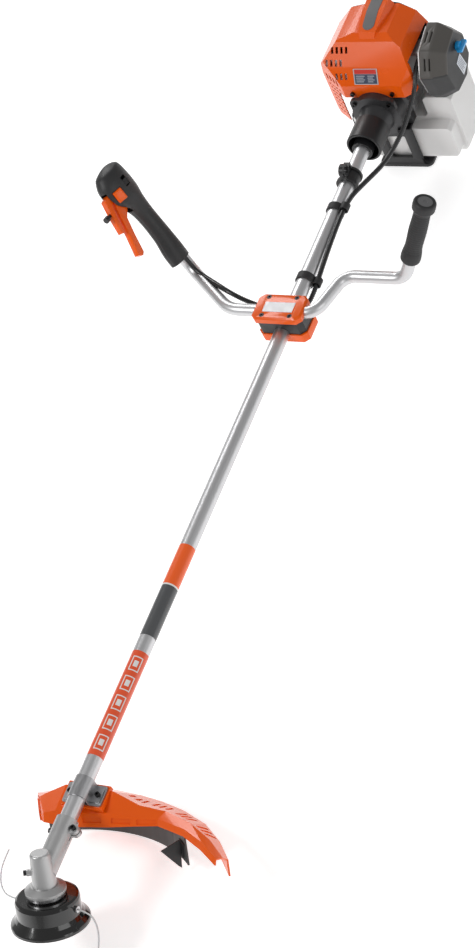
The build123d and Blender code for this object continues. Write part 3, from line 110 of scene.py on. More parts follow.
class TrimmerSizes(bpy.types.PropertyGroup):
    cover_edge: FloatProperty(name="Cover edge", description="Width of the engine cover's soft edges",
                              default=4.5 * MM, unit="LENGTH")
    moulding_edge: FloatProperty(name="Moulding edge", description="Width of small mouldings' edges",
                                 default=1.6 * MM, unit="LENGTH")
    cover_wall: FloatProperty(name="Cover wall", description="Wall of the engine cover",
                              default=2.5 * MM, unit="LENGTH")
    conduit_d: FloatProperty(name="Conduit", description="Outside diameter of the throttle conduit",
                             default=9.6 * MM, unit="LENGTH")
    rib_pitch: FloatProperty(name="Rib pitch", description="Distance between the conduit's ribs",
                             default=3.2 * MM, unit="LENGTH")
    line_d: FloatProperty(name="Cutting line", description="Diameter of the cutting line",
                          default=2.7 * MM, unit="LENGTH")
    turns: IntProperty(name="Round steps", description="Steps round a turned piece", default=72)


def sizes():
    return bpy.context.scene.trimmer_sizes


def colours():
    return bpy.context.scene.trimmer_colours


# ------------------------------------------------------------------ shader groups
def node(tree, kind, **settings):
    made = tree.nodes.new(kind)
    for key, value in settings.items():
        setattr(made, key, value)
    return made


def set_in(made, **values):
    for key, value in values.items():
        made.inputs[key.replace("_", " ")].default_value = value


def new_tree(name, kind, inputs, outputs):
    """An empty node group with its sockets, as (label, kind, value), and its two end nodes."""
    tree = bpy.data.node_groups.new(name, kind)
    for in_out, rows in (("INPUT", inputs), ("OUTPUT", outputs)):
        for label, sort, *value in rows:
            made = tree.interface.new_socket(name=label, in_out=in_out, socket_type="NodeSocket" + sort)
            if value:
                made.default_value = value[0]
    return tree, node(tree, "NodeGroupInput"), node(tree, "NodeGroupOutput")


def wire(tree, *rows):
    """Link nodes: each row is a node, its output, the next node and its input."""
    for source, output, target, into in rows:
        tree.links.new(source.outputs[output], target.inputs[into])


EFFECT_OUT = (("Height", "Float"), ("Tone", "Float"), ("Roughness", "Float"))


def moulding_group():
    """Fine moulded grain with slow patches: a height, a tone from 0 to 1 and a roughness."""
    name = "Moulded grain"
    if name in bpy.data.node_groups:
        return bpy.data.node_groups[name]
    tree, start, end = new_tree(name, "ShaderNodeTree", (
        ("Grain scale", "Float", 900.0), ("Patch scale", "Float", 14.0),
        ("Rough low", "Float", 0.3), ("Rough high", "Float", 0.4)), EFFECT_OUT)
    place = node(tree, "ShaderNodeTexCoord")
    fine = node(tree, "ShaderNodeTexNoise")
    set_in(fine, Detail=3.0, Roughness=0.6)
    slow = node(tree, "ShaderNodeTexNoise")
    set_in(slow, Detail=4.0, Roughness=0.55)
    spread = node(tree, "ShaderNodeMapRange")
    set_in(spread, From_Min=0.3, From_Max=0.7)
    wire(tree, (place, "Object", fine, "Vector"), (place, "Object", slow, "Vector"),
         (start, "Grain scale", fine, "Scale"), (start, "Patch scale", slow, "Scale"),
         (slow, "Fac", spread, "Value"), (start, "Rough low", spread, "To Min"),
         (start, "Rough high", spread, "To Max"), (fine, "Fac", end, "Height"), (slow, "Fac", end, "Tone"),
         (spread, "Result", end, "Roughness"))
    return tree


def drawn_group():
    """Fine marks along one direction, as on drawn or turned metal."""
    name = "Drawn marks"
    if name in bpy.data.node_groups:
        return bpy.data.node_groups[name]
    tree, start, end = new_tree(name, "ShaderNodeTree", (
        ("Stretch", "Vector", (8.0, 900.0, 900.0)), ("Rough low", "Float", 0.25),
        ("Rough high", "Float", 0.45)), EFFECT_OUT)
    place = node(tree, "ShaderNodeTexCoord")
    long = node(tree, "ShaderNodeVectorMath", operation="MULTIPLY")
    marks = node(tree, "ShaderNodeTexNoise")
    set_in(marks, Scale=1.0, Detail=4.0, Roughness=0.65)
    spread = node(tree, "ShaderNodeMapRange")
    set_in(spread, From_Min=0.3, From_Max=0.7)
    wire(tree, (place, "Object", long, 0), (start, "Stretch", long, 1), (long, "Vector", marks, "Vector"),
         (marks, "Fac", spread, "Value"), (start, "Rough low", spread, "To Min"),
         (start, "Rough high", spread, "To Max"), (marks, "Fac", end, "Height"),
         (marks, "Fac", end, "Tone"), (spread, "Result", end, "Roughness"))
    return tree


MIX_A, MIX_B, MIX_RESULT = 6, 7, 2      # the colour sockets of a Mix node


def finish(name, dark, light, group, values, bump, bump_depth=0.0002, **shader):
    """A material from one group: its tone mixes two colours, its height bumps the surface."""
    name = "fine_" + name
    if name in bpy.data.materials:
        return bpy.data.materials[name]
    material = bpy.data.materials.new(name)
    material.use_nodes = True
    tree = material.node_tree
    principled = tree.nodes["Principled BSDF"]
    effect = node(tree, "ShaderNodeGroup", node_tree=group)
    for key, value in values.items():
        effect.inputs[key].default_value = value
    mix = node(tree, "ShaderNodeMix", data_type="RGBA")
    mix.inputs[MIX_A].default_value = (*dark, 1.0)
    mix.inputs[MIX_B].default_value = (*light, 1.0)
    lift = node(tree, "ShaderNodeBump")
    set_in(lift, Strength=bump, Distance=bump_depth)
    wire(tree, (effect, "Tone", mix, 0), (mix, MIX_RESULT, principled, "Base Color"),
         (effect, "Roughness", principled, "Roughness"), (effect, "Height", lift, "Height"),
         (lift, "Normal", principled, "Normal"))
    set_in(principled, **shader)
    material.diffuse_color = (*light, 1.0)
    return material


def shades(value, spread=0.12):
    return tuple(v * (1 - spread) for v in value), tuple(min(1.0, v * (1 + spread)) for v in value)


def moulded(name, value, rough, grain=900.0, bump=0.05, spread=0.06, **shader):
    dark, light = shades(value, spread)
    return finish(name, dark, light, moulding_group(),
                  {"Grain scale": grain, "Rough low": rough[0], "Rough high": rough[1]}, bump, **shader)


def metal(name, value, rough, stretch=(8.0, 900.0, 900.0), bump=0.06, spread=0.08, **shader):
    dark, light = shades(value, spread)
    return finish(name, dark, light, drawn_group(),
                  {"Stretch": stretch, "Rough low": rough[0], "Rough high": rough[1]}, bump,
                  Metallic=1.0, **shader)


# Each look: its maker, its colour or the setting that holds it, roughness from and to, the rest.
LOOKS = {
    "orange_plastic": (moulded, "orange", (0.20, 0.28), dict(
        grain=500.0, bump=0.02, spread=0.04, Specular_IOR_Level=0.24, Coat_Weight=0.2, Coat_Roughness=0.05)),
    "black_gloss": (moulded, (0.003, 0.003, 0.003), (0.12, 0.20), dict(
        bump=0.015, Coat_Weight=0.6, Coat_Roughness=0.05)),
    "black_satin": (moulded, (0.009, 0.009, 0.010), (0.34, 0.46), dict(bump=0.10)),
    "black_textured": (moulded, (0.020, 0.020, 0.021), (0.42, 0.52), dict(
        grain=1500.0, bump=0.55, bump_depth=0.0003)),
    "conduit_black": (moulded, (0.016, 0.016, 0.017), (0.24, 0.34), dict(bump=0.05)),
    "grip_rubber": (moulded, (0.016, 0.016, 0.017), (0.50, 0.66), dict(grain=700.0, bump=0.25)),
    "skirt_grey": (moulded, (0.060, 0.062, 0.062), (0.42, 0.55), dict(grain=600.0, bump=0.15)),
    "filter_grey": (moulded, "filter_top", (0.42, 0.55), dict(grain=1300.0, bump=0.30)),
    "filter_dark": (moulded, (0.026, 0.026, 0.027), (0.45, 0.58), dict(grain=1300.0, bump=0.30)),
    "tank_milk": (moulded, "tank", (0.30, 0.42), dict(
        grain=250.0, bump=0.05, spread=0.03, Subsurface_Weight=0.35, Subsurface_Scale=0.02,
        Subsurface_Radius=(1.0, 1.0, 1.0))),
    "blue_gloss": (moulded, "knob", (0.18, 0.28), dict(bump=0.03, Coat_Weight=0.3)),
    "nylon_line": (moulded, (0.74, 0.75, 0.76), (0.28, 0.38), dict(bump=0.05, Transmission_Weight=0.25)),
    "inlay_grey": (moulded, (0.125, 0.125, 0.128), (0.42, 0.52), dict(bump=0.15)),
    "filter_foam": (moulded, (0.05, 0.05, 0.05), (0.9, 1.0), dict(grain=350.0, bump=0.9, bump_depth=0.001)),
    "housing_cast": (moulded, "housing", (0.30, 0.46), dict(
        grain=420.0, bump=0.28, spread=0.15, bump_depth=0.0004, Metallic=0.55)),
    "cast_aluminium": (moulded, (0.50, 0.50, 0.50), (0.34, 0.50), dict(
        grain=380.0, bump=0.30, spread=0.06, bump_depth=0.0004, Metallic=0.85)),
    "drawn_aluminium": (metal, (0.64, 0.64, 0.65), (0.36, 0.46), dict(bump=0.05)),
    "bright_steel": (metal, (0.58, 0.58, 0.59), (0.22, 0.36), dict(stretch=(120.0, 700.0, 120.0), bump=0.05)),
    "zinc_plate": (metal, (0.42, 0.42, 0.43), (0.34, 0.50), dict(stretch=(60.0, 400.0, 60.0), bump=0.08)),
    "screw_black": (metal, (0.05, 0.05, 0.052), (0.30, 0.45), dict(stretch=(500.0, 500.0, 500.0), bump=0.1)),
    "bronze": (metal, (0.45, 0.30, 0.13), (0.35, 0.5), dict(stretch=(200.0, 200.0, 200.0), bump=0.1)),
}
FILMS = {
    "label_silver": (0.50, 0.51, 0.53), "label_slate": (0.045, 0.060, 0.105), "label_red": (0.62, 0.03, 0.02),
    "label_pale": (0.60, 0.63, 0.68), "label_orange_red": (0.80, 0.09, 0.02),
    "label_charcoal": (0.075, 0.078, 0.082), "label_orange": (0.90, 0.115, 0.006),
    "label_white": (0.80, 0.80, 0.78),
}


def look(name):
    maker, value, rough, options = LOOKS[name]
    if isinstance(value, str):
        value = getattr(colours(), value)
    return maker(name, value, rough, **options)


def film(name):
    """A printed film's material."""
    return moulded(name, FILMS[name], (0.28, 0.36), grain=300.0, bump=0.02, spread=0.03, Coat_Weight=0.3)


# ------------------------------------------------------------------ mesh helpers
def link_object(name, data, materials=()):
    made = bpy.data.objects.new(name, data)
    bpy.context.scene.collection.objects.link(made)
    for material in materials:
        made.data.materials.append(material)
    return made


def from_faces(name, points, faces, matrix=WORLD, material=None):
    data = bpy.data.meshes.new(name)
    data.from_pydata([tuple(matrix @ Vector(p)) for p in points], [], faces)
    made = link_object(name, data, [material] if material else [])
    outward(made)
    return made


def outward(made):
    """Merge doubled points and turn every face outwards."""
    work = bmesh.new()
    work.from_mesh(made.data)
    bmesh.ops.remove_doubles(work, verts=work.verts, dist=1e-6)
    bmesh.ops.recalc_face_normals(work, faces=work.faces)
    work.to_mesh(made.data)
    work.free()


def settle(made):
    """Turn a piece and its modifiers into a plain mesh."""
    graph = bpy.context.evaluated_depsgraph_get()
    data = bpy.data.meshes.new_from_object(made.evaluated_get(graph))
    if made.type == "MESH":
        made.modifiers.clear()
        made.data = data
        return made
    name = made.name
    made.name = name + "_route"
    bpy.data.objects.remove(made)
    return link_object(name, data)


def smooth(made, angle=35.0):
    made.data.polygons.foreach_set("use_smooth", [True] * len(made.data.polygons))
    made.data.set_sharp_from_angle(angle=math.radians(angle))
    return made


def flats(made, angle):
    """Smooth shading in which the large flat faces stay flat."""
    smooth(made, angle)
    lead = made.modifiers.new("flats", "WEIGHTED_NORMAL")
    lead.keep_sharp = True
    return settle(made)


def combine(made, tool, operation="DIFFERENCE"):
    """Boolean with a tool object, which is used up."""
    cut = made.modifiers.new("cut", "BOOLEAN")
    cut.operation = operation
    cut.solver = "EXACT"
    cut.object = tool
    settle(made)
    bpy.data.objects.remove(tool)
    return made


def soften(made, width, segments=3, angle=28.0):
    """Round the edges, with the flats kept flat."""
    made.data.polygons.foreach_set("use_smooth", [True] * len(made.data.polygons))
    round_edges = made.modifiers.new("edges", "BEVEL")
    round_edges.width = width
    round_edges.segments = segments
    round_edges.limit_method = "ANGLE"
    round_edges.angle_limit = math.radians(angle)
    round_edges.harden_normals = True
    round_edges.miter_outer = "MITER_ARC"
    return settle(made)


def block(lo, hi, matrix=WORLD, name="tool", material=None):
    points = [(x, y, z) for x in (lo[0], hi[0]) for y in (lo[1], hi[1]) for z in (lo[2], hi[2])]
    faces = [(0, 1, 3, 2), (4, 6, 7, 5), (0, 4, 5, 1), (2, 3, 7, 6), (0, 2, 6, 4), (1, 5, 7, 3)]
    return from_faces(name, points, faces, matrix, material)


def prism(outline, spread, lo, hi, matrix=WORLD, name="tool", material=None):
    """An outline drawn on two axes, carried along the third from lo to hi."""
    points = [spread(a, b, level) for level in (lo, hi) for a, b in outline]
    n = len(outline)
    faces = [tuple(range(n)), tuple(range(2 * n - 1, n - 1, -1))]
    faces += [(i, (i + 1) % n, n + (i + 1) % n, n + i) for i in range(n)]
    return from_faces(name, points, faces, matrix, material)


def lathe(profile, matrix, name="turned", material=None, steps=None):
    """A closed solid turned about Z from (radius, height) points; zero radii are poles."""
    steps = steps or sizes().turns
    points = []
    rings = []
    for r, h in profile:
        if r <= 1e-6:
            rings.append([len(points)] * steps)
            points.append((0, 0, h))
        else:
            rings.append(list(range(len(points), len(points) + steps)))
            points += [(r * math.cos(2 * math.pi * k / steps), r * math.sin(2 * math.pi * k / steps), h)
                       for k in range(steps)]
    faces = []
    closed = profile[0][0] > 1e-6 or profile[-1][0] > 1e-6
    pairs = list(zip(rings, rings[1:])) + ([(rings[-1], rings[0])] if closed else [])
    for a, b in pairs:
        for k in range(steps):
            corner = [a[k], a[(k + 1) % steps], b[(k + 1) % steps], b[k]]
            face = tuple(dict.fromkeys(corner))
            if len(face) > 2:
                faces.append(face)
    return from_faces(name, points, faces, matrix, material)


def hull(points, matrix=WORLD, name="tool", material=None):
    data = bpy.data.meshes.new(name)
    work = bmesh.new()
    for p in points:
        work.verts.new(matrix @ Vector(p))
    made = bmesh.ops.convex_hull(work, input=work.verts)
    inside = {v for v in made["geom_interior"] + made["geom_unused"] if isinstance(v, bmesh.types.BMVert)}
    bmesh.ops.delete(work, geom=list(inside), context="VERTS")
    bmesh.ops.dissolve_limit(work, angle_limit=math.radians(1), verts=work.verts, edges=work.edges)
    work.to_mesh(data)
    work.free()
    made = link_object(name, data, [material] if material else [])
    outward(made)
    return made


def copy_of(cad_node, name, material):
    """A merged copy of a CAD node's mesh, with its flat faces whole again."""
    data = frame["nodes"][cad_node].data.copy()
    data.materials.clear()
    made = link_object(name, data, [material])
    work = bmesh.new()
    work.from_mesh(data)
    bmesh.ops.remove_doubles(work, verts=work.verts, dist=1e-6)
    bmesh.ops.dissolve_limit(work, angle_limit=math.radians(0.5), verts=work.verts, edges=work.edges)
    work.to_mesh(data)
    work.free()
    return made


def fit(made, body, slot, *cad_nodes):
    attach(made, body)
    if cad_nodes:
        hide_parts(*cad_nodes)
    return made


# ------------------------------------------------------------------ geometry node trees
def grid_tree():
    """Blocks in rows and columns, for slots and vents."""
    name = "Rows of blocks"
    if name in bpy.data.node_groups:
        return bpy.data.node_groups[name]
    tree, start, end = new_tree(name, "GeometryNodeTree", (
        ("Geometry", "Geometry"), ("Columns", "Int", 5), ("Rows", "Int", 2), ("Column pitch", "Float", 0.012),
        ("Row pitch", "Float", 0.02), ("Lean", "Float", 0.0), ("Block", "Vector", (0.004, 0.012, 0.02)),
        ("Material", "Material")), (("Geometry", "Geometry"),))
    index = node(tree, "GeometryNodeInputIndex")
    column, row, row_floor, total, across, down, leaned = (
        node(tree, "ShaderNodeMath", operation=kind)
        for kind in ("MODULO", "DIVIDE", "FLOOR", "MULTIPLY", "MULTIPLY", "MULTIPLY", "MULTIPLY_ADD"))
    place = node(tree, "ShaderNodeCombineXYZ")
    points = node(tree, "GeometryNodePoints")
    cube = node(tree, "GeometryNodeMeshCube")
    many = node(tree, "GeometryNodeInstanceOnPoints")
    real = node(tree, "GeometryNodeRealizeInstances")
    paint = node(tree, "GeometryNodeSetMaterial")
    wire(tree, (start, "Columns", total, 0), (start, "Rows", total, 1), (total, 0, points, "Count"),
         (index, 0, column, 0), (start, "Columns", column, 1), (index, 0, row, 0),
         (start, "Columns", row, 1), (row, 0, row_floor, 0), (column, 0, across, 0),
         (start, "Column pitch", across, 1), (row_floor, 0, down, 0), (start, "Row pitch", down, 1),
         (row_floor, 0, leaned, 0), (start, "Lean", leaned, 1), (across, 0, leaned, 2),
         (leaned, 0, place, "X"), (down, 0, place, "Y"), (place, 0, points, "Position"),
         (start, "Block", cube, "Size"), (points, 0, many, "Points"), (cube, "Mesh", many, "Instance"),
         (many, 0, real, "Geometry"), (real, 0, paint, "Geometry"), (start, "Material", paint, "Material"),
         (paint, 0, end, 0))
    return tree


def corrugated_tree():
    """A ribbed tube along a curve: every second ring is smaller."""
    name = "Ribbed tube"
    if name in bpy.data.node_groups:
        return bpy.data.node_groups[name]
    tree, start, end = new_tree(name, "GeometryNodeTree", (
        ("Geometry", "Geometry"), ("Radius", "Float", 0.005), ("Step", "Float", 0.0016),
        ("Groove", "Float", 0.18), ("Material", "Material")), (("Geometry", "Geometry"),))
    even = node(tree, "GeometryNodeResampleCurve", mode="LENGTH")
    ring = node(tree, "GeometryNodeCurvePrimitiveCircle")
    ring.inputs["Resolution"].default_value = 14
    index = node(tree, "GeometryNodeInputIndex")
    half = node(tree, "ShaderNodeMath", operation="MODULO")
    half.inputs[1].default_value = 2.0
    depth = node(tree, "ShaderNodeMath", operation="MULTIPLY")
    size = node(tree, "ShaderNodeMath", operation="SUBTRACT")
    size.inputs[0].default_value = 1.0
    tube = node(tree, "GeometryNodeCurveToMesh")
    tube.inputs["Fill Caps"].default_value = True
    shade = node(tree, "GeometryNodeSetShadeSmooth")
    paint = node(tree, "GeometryNodeSetMaterial")
    wire(tree, (start, "Geometry", even, "Curve"), (start, "Step", even, "Length"),
         (start, "Radius", ring, "Radius"), (index, 0, half, 0), (half, 0, depth, 0),
         (start, "Groove", depth, 1), (depth, 0, size, 1), (even, 0, tube, "Curve"),
         (ring, 0, tube, "Profile Curve"), (size, 0, tube, "Scale"), (tube, 0, shade, "Geometry"),
         (shade, 0, paint, "Geometry"), (start, "Material", paint, "Material"), (paint, 0, end, 0))
    return tree


def grow(made, tree, **values):
    """Give a piece a geometry tree; keys are input names with _ for a space."""
    grower = made.modifiers.new(tree.name, "NODES")
    grower.node_group = tree
    names = {item.name: item.identifier for item in tree.interface.items_tree if item.in_out == "INPUT"}
    for key, value in values.items():
        grower[names[key.replace("_", " ")]] = value
    return made


def slot_tool(matrix, columns, rows, column_pitch, row_pitch, size, lean=0.0, material=None, name="slots"):
    """Blocks on a face, in millimetres: X and Y along the face, Z through it."""
    seed = link_object(name, bpy.data.meshes.new(name))
    grow(seed, grid_tree(), Columns=columns, Rows=rows, Column_pitch=float(column_pitch),
         Row_pitch=float(row_pitch), Lean=float(lean), Block=size, Material=material)
    settle(seed)
    middle = Vector((column_pitch * (columns - 1) / 2 + lean * (rows - 1) / 2, row_pitch * (rows - 1) / 2, 0))
    seed.data.transform(matrix @ Matrix.Translation(-middle))
    outward(seed)
    return seed


# ------------------------------------------------------------------ engine cover
COVER_SIDE = ((1516, -38), (1516, 62), (1532, 92), (1562, 128), (1592, 146), (1652, 150), (1652, -38))
COVER_FRONT = ((-80, -38), (-80, 92), (-66, 120), (-38, 137), (30, 137), (62, 130), (100, 92),
               (113, 44), (113, -10), (104, -38))
COVER_PLAN = ((1516, -62), (1516, 58), (1552, 108), (1590, 113), (1652, 113), (1652, -80), (1532, -80))
SPINE = ((1651, -32, 130), (1651, 32, 130), (1651, -22, 151.5), (1651, 22, 151.5), (1618, -21, 151),
         (1618, 21, 151), (1574, -17, 140.5), (1574, 17, 140.5), (1562, -12, 122), (1562, 12, 122), (1600, -30, 112),
         (1600, 30, 112), (1550, -8, 108), (1550, 8, 108))
COVER_REAR_X = 1651.5
COVER_FOOT_Z = -37.5


def shrink(outline, wall):
    """A convex outline with every side moved inwards by wall."""
    n = len(outline)
    area = sum(outline[i][0] * outline[(i + 1) % n][1] - outline[(i + 1) % n][0] * outline[i][1] for i in range(n))
    turn = 1.0 if area > 0 else -1.0
    sides = []
    for i in range(n):
        a, b = Vector(outline[i]), Vector(outline[(i + 1) % n])
        along = (b - a).normalized()
        sides.append((a + Vector((-along.y, along.x)) * wall * turn, along))
    result = []
    for i in range(n):
        (p, d), (q, e) = sides[i - 1], sides[i]
        cross = d.x * e.y - d.y * e.x
        t = ((q - p).x * e.y - (q - p).y * e.x) / cross
        result.append(tuple(p + d * t))
    return result


def cover_form(side, front, plan, name, material=None):
    form = prism(side, lambda a, b, c: (a, c, b), -200, 200, name=name, material=material)
    combine(form, prism(front, lambda a, b, c: (c, a, b), 1400, 1760), "INTERSECT")
    return combine(form, prism(plan, lambda a, b, c: (a, b, c), -150, 200), "INTERSECT")


def cover_room():
    """The room inside the cover, run out through its rear and its underside."""
    wall = sizes().cover_wall / MM
    side = [(1700 if x > COVER_REAR_X - 5 else x, -90 if z < COVER_FOOT_Z + 5 else z)
            for x, z in shrink(COVER_SIDE, wall)]
    front = [(y, -90 if z < COVER_FOOT_Z + 5 else z) for y, z in shrink(COVER_FRONT[:-2], wall)]
    front = [(front[0][0], -90)] + front[1:] + [(front[-1][0], -90)]
    plan = [(1700 if x > COVER_REAR_X - 5 else x, y) for x, y in shrink(COVER_PLAN, wall)]
    return cover_form(side, front, plan, "cover_room")


def cover_body(material):
    form = cover_form(COVER_SIDE, COVER_FRONT, COVER_PLAN, "engine_cover_shell", material)
    combine(form, hull(SPINE), "UNION")
    outward(form)
    soften(form, sizes().cover_edge, 4, 14.0)
    return combine(form, cover_room())


# Blocks cut away: over the clutch housing, under the crankcase, beside the filter.
COVER_OPENINGS = (((1500, -82, -60), (1546, 76, 34)), ((1540, -82, -60), (1680, 90, 6)),
                  ((1542, -84, 4), (1646, -74, 96)))
LEFT_ALONG = (0.584, 0.811, 0)
LEFT_OUT = (-0.811, 0.584, 0)
LOUVRE_ROWS = 8
LOUVRE_PITCH = 9.5


def cover_cuts(form):
    for lo, hi in COVER_OPENINGS:
        combine(form, block(lo, hi))
    combine(form, slot_tool(placed((1534, 83, 62), LEFT_ALONG, LEFT_OUT), 4, 1, 11, 10, (5.5, 14, 24)))
    for place, columns, slope in (((1524.5, 55, 78), 3, (-0.882, 0, 0.471)), ((1538, 68, 99), 4, (-0.768, 0, 0.64)),
                                  ((1552.5, 56, 117), 4, (-0.768, 0, 0.64))):
        row = placed(place, (0, 1, 0), slope)
        combine(form, slot_tool(row, columns, 1, 9.5, 10, (5, 12, 24)))
    for row in range(LOUVRE_ROWS):
        places = placed((1534, 83, 44 - LOUVRE_PITCH * row), LEFT_ALONG, LEFT_OUT)
        combine(form, slot_tool(places, 4, 1, 10.5, 10, (6.5, 3.4, 24)))
    return flats(form, 40.0)


class TRIMMER_OT_engine_cover(bpy.types.Operator):
    """The orange engine cover with its spine, vents, inlay and rating plate."""
    bl_idname = "trimmer.engine_cover"
    bl_label = "Engine cover"

    def execute(self, context):
        form = cover_body(look("orange_plastic"))
        cover_cuts(form)
        fit(form, "frame", "orange_plastic", "engine_cover")
        inlay()
        plate()
        return {"FINISHED"}


def ribbon(name, centres, across, halves, lift, depth, material):
    """A strip laid along centres, with a half width at each, lifted off the surface."""
    points = []
    for (x, y, z), half in zip(centres, halves):
        for side in (-1, 1):
            for level in (lift, lift - depth):
                base = Vector((x, y, z)) + Vector(across) * side * half
                points.append(tuple(base + Vector((-0.45, 0, 0.89)) * level))
    faces = []
    for i in range(len(centres) - 1):
        a, b = 4 * i, 4 * i + 4
        faces += [(a, a + 2, b + 2, b), (a + 1, b + 1, b + 3, a + 3), (a, b, b + 1, a + 1),
                  (a + 2, a + 3, b + 3, b + 2)]
    last = 4 * len(centres) - 4
    faces += [(0, 1, 3, 2), (last, last + 2, last + 3, last + 1)]
    return from_faces(name, points, faces, WORLD, material)


INLAY_LINE = ((1648, 151.6), (1618, 150.9), (1604, 147.6), (1590, 144.3), (1578, 141.4))
INLAY_HALF = 11.5


def inlay():
    """The grey strip let into the spine, round at its lower end."""
    steps = 7
    centres = [(x, 0.0, z) for x, z in INLAY_LINE[:-1]]
    halves = [INLAY_HALF] * len(centres)
    x0, z0 = INLAY_LINE[-2]
    x1, z1 = INLAY_LINE[-1]
    slope = (z0 - z1) / (x0 - x1)
    for k in range(1, steps + 1):
        turn = math.pi / 2 * k / steps
        x = x0 - INLAY_HALF * math.sin(turn)
        centres.append((x, 0.0, z0 - (x0 - x) * slope))
        halves.append(max(0.4, INLAY_HALF * math.cos(turn)))
    strip = ribbon("cover_inlay", centres, (0, 1, 0), halves, 0.8, 2.2, look("inlay_grey"))
    soften(strip, 0.4 * MM, 2)
    fit(strip, "frame", "black_plastic")


PLATE_CORNERS = ((1531.0, 29, 91.5), (1531.0, -19, 91.5), (1517.2, -19, 65.5), (1517.2, 29, 65.5))


def plate():
    """A plain rating plate: a light border, a dark field and a red band, with no lettering."""
    top_left, top_right, foot_right, foot_left = (Vector(p) for p in PLATE_CORNERS)
    out = (top_right - top_left).cross(foot_left - top_left).normalized()
    if out.x > 0:
        out = -out

    def panel(name, left, right, top, foot, lift, material):
        def spot(u, v):
            return (top_left.lerp(top_right, u)).lerp(foot_left.lerp(foot_right, u), v)
        corners = [spot(left, top), spot(right, top), spot(right, foot), spot(left, foot)]
        points = [tuple(c + out * lift) for c in corners] + [tuple(c - out * 0.3) for c in corners]
        faces = [(0, 1, 2, 3), (7, 6, 5, 4)] + [(i, (i + 1) % 4, 4 + (i + 1) % 4, 4 + i) for i in range(4)]
        made = from_faces(name, points, faces, WORLD, material)
        fit(made, "frame", "zinc_plate")

    panel("rating_plate", 0, 1, 0, 1, 0.7, film("label_silver"))
    panel("rating_plate_field", 0.04, 0.96, 0.34, 0.95, 0.85, film("label_slate"))
    panel("rating_plate_band", 0.04, 0.96, 0.04, 0.32, 0.85, film("label_red"))
    for row in range(4):
        top = 0.44 + 0.12 * row
        for kind, left, right in (("line", 0.10, 0.46 - 0.05 * (row % 2)), ("mark", 0.58, 0.86 - 0.06 * (row % 2))):
            panel("rating_plate_%s_%d" % (kind, row), left, right, top, top + 0.035, 0.95, film("label_pale"))


# ------------------------------------------------------------------ filter cover
FILTER_SIDE = ((1556, -6), (1540, 14), (1530, 66), (1560, 106), (1622, 118), (1656, 74), (1652, 18), (1612, -10))
FILTER_MID = (1591.0, 47.0)
FILTER_LEVELS = ((-96, 1.0), (-118, 1.0), (-145.5, 0.80))


class TRIMMER_OT_filter_cover(bpy.types.Operator):
    """The two-tone air filter cover with its slots and label."""
    bl_idname = "trimmer.filter_cover"
    bl_label = "Filter cover"

    def execute(self, context):
        points = []
        for y, k in FILTER_LEVELS:
            points += [(FILTER_MID[0] + (x - FILTER_MID[0]) * k, y, FILTER_MID[1] + (z - FILTER_MID[1]) * k)
                       for x, z in FILTER_SIDE]
        n = len(FILTER_SIDE)
        faces = [tuple(range(n)), tuple(range(2 * n, 3 * n))]
        for level in range(len(FILTER_LEVELS) - 1):
            a = level * n
            faces += [(a + i, a + (i + 1) % n, a + n + (i + 1) % n, a + n + i) for i in range(n)]
        form = from_faces("filter_cover_shell", points, faces, WORLD, look("filter_grey"))
        form.data.materials.append(look("filter_dark"))
        soften(form, 3.2 * MM, 4, 12.0)
        self.two_tone(form)
        top = placed((1590, -108, 111), (1, 0, 0), (-0.19, 0, 0.98))
        combine(form, slot_tool(top, 1, 2, 10, 9, (24, 3.6, 10)))
        front = placed((1545, -112, 86), (0.6, 0, 0.8), (-0.8, 0, 0.6))
        combine(form, slot_tool(front, 1, 2, 10, 9, (22, 3.6, 10)))
        flats(form, 40.0)
        fit(form, "frame", "filter_grey", "filter_cover")
        self.label()
        return {"FINISHED"}

    def two_tone(self, form):
        """The lower front faces are the dark moulding, the rest the light one."""
        dark_below = at(0, 0, 66).z
        for face in form.data.polygons:
            low = face.center.z < dark_below
            face.material_index = 1 if low and face.normal.x < 0.35 and face.normal.z < 0.5 else 0

    def label(self):
        frame_on_face = placed((1601, -145.6, 34), (0.25, 0, -0.97), (0, -1, 0))
        made = block((-19, -11, -0.3), (19, 11, 0.6), frame_on_face, "filter_label",
                     film("label_pale"))
        fit(made, "frame", "zinc_plate")
        for row in range(5):
            y = -8 + 3.6 * row
            line = block((-16, y, 0.3), (14 - 4 * (row % 2), y + 1.2, 0.75), frame_on_face,
                         "filter_label_line_%d" % row, film("label_slate"))
            fit(line, "frame", "zinc_plate")


# ------------------------------------------------------------------ labels on the tube
LABELS = (
    ("label_safety", 112, 308, "label_orange_red"),
    ("label_grey", 339, 437, "label_charcoal"),
    ("label_orange", 437, 519, "label_orange"),
)


NEARLY_ROUND = 6.28


def wrap(name, x0, x1, material, lift=0.12, from_turn=0.0, to_turn=2 * math.pi, steps=72):
    """A film round the tube from x0 to x1; turns count from straight up toward +Y."""
    closed = to_turn - from_turn > NEARLY_ROUND
    count = steps if closed else max(6, int(steps * (to_turn - from_turn) / NEARLY_ROUND))
    points = []
    for x in (x0, x1):
        for radius in (TUBE_R + lift, TUBE_R + 0.02):
            for k in range(count + (0 if closed else 1)):
                turn = from_turn + (to_turn - from_turn) * k / count
                points.append((x, radius * math.sin(turn), radius * math.cos(turn)))
    n = count + (0 if closed else 1)
    faces = []
    for k in range(count):
        j = (k + 1) % n
        faces += [(k, j, 2 * n + j, 2 * n + k), (n + k, 3 * n + k, 3 * n + j, n + j),
                  (k, n + k, n + j, j), (2 * n + k, 2 * n + j, 3 * n + j, 3 * n + k)]
    if not closed:
        last = n - 1
        faces += [(0, 2 * n, 3 * n, n), (last, n + last, 3 * n + last, 2 * n + last)]
    return smooth(from_faces(name, points, faces, WORLD, material))


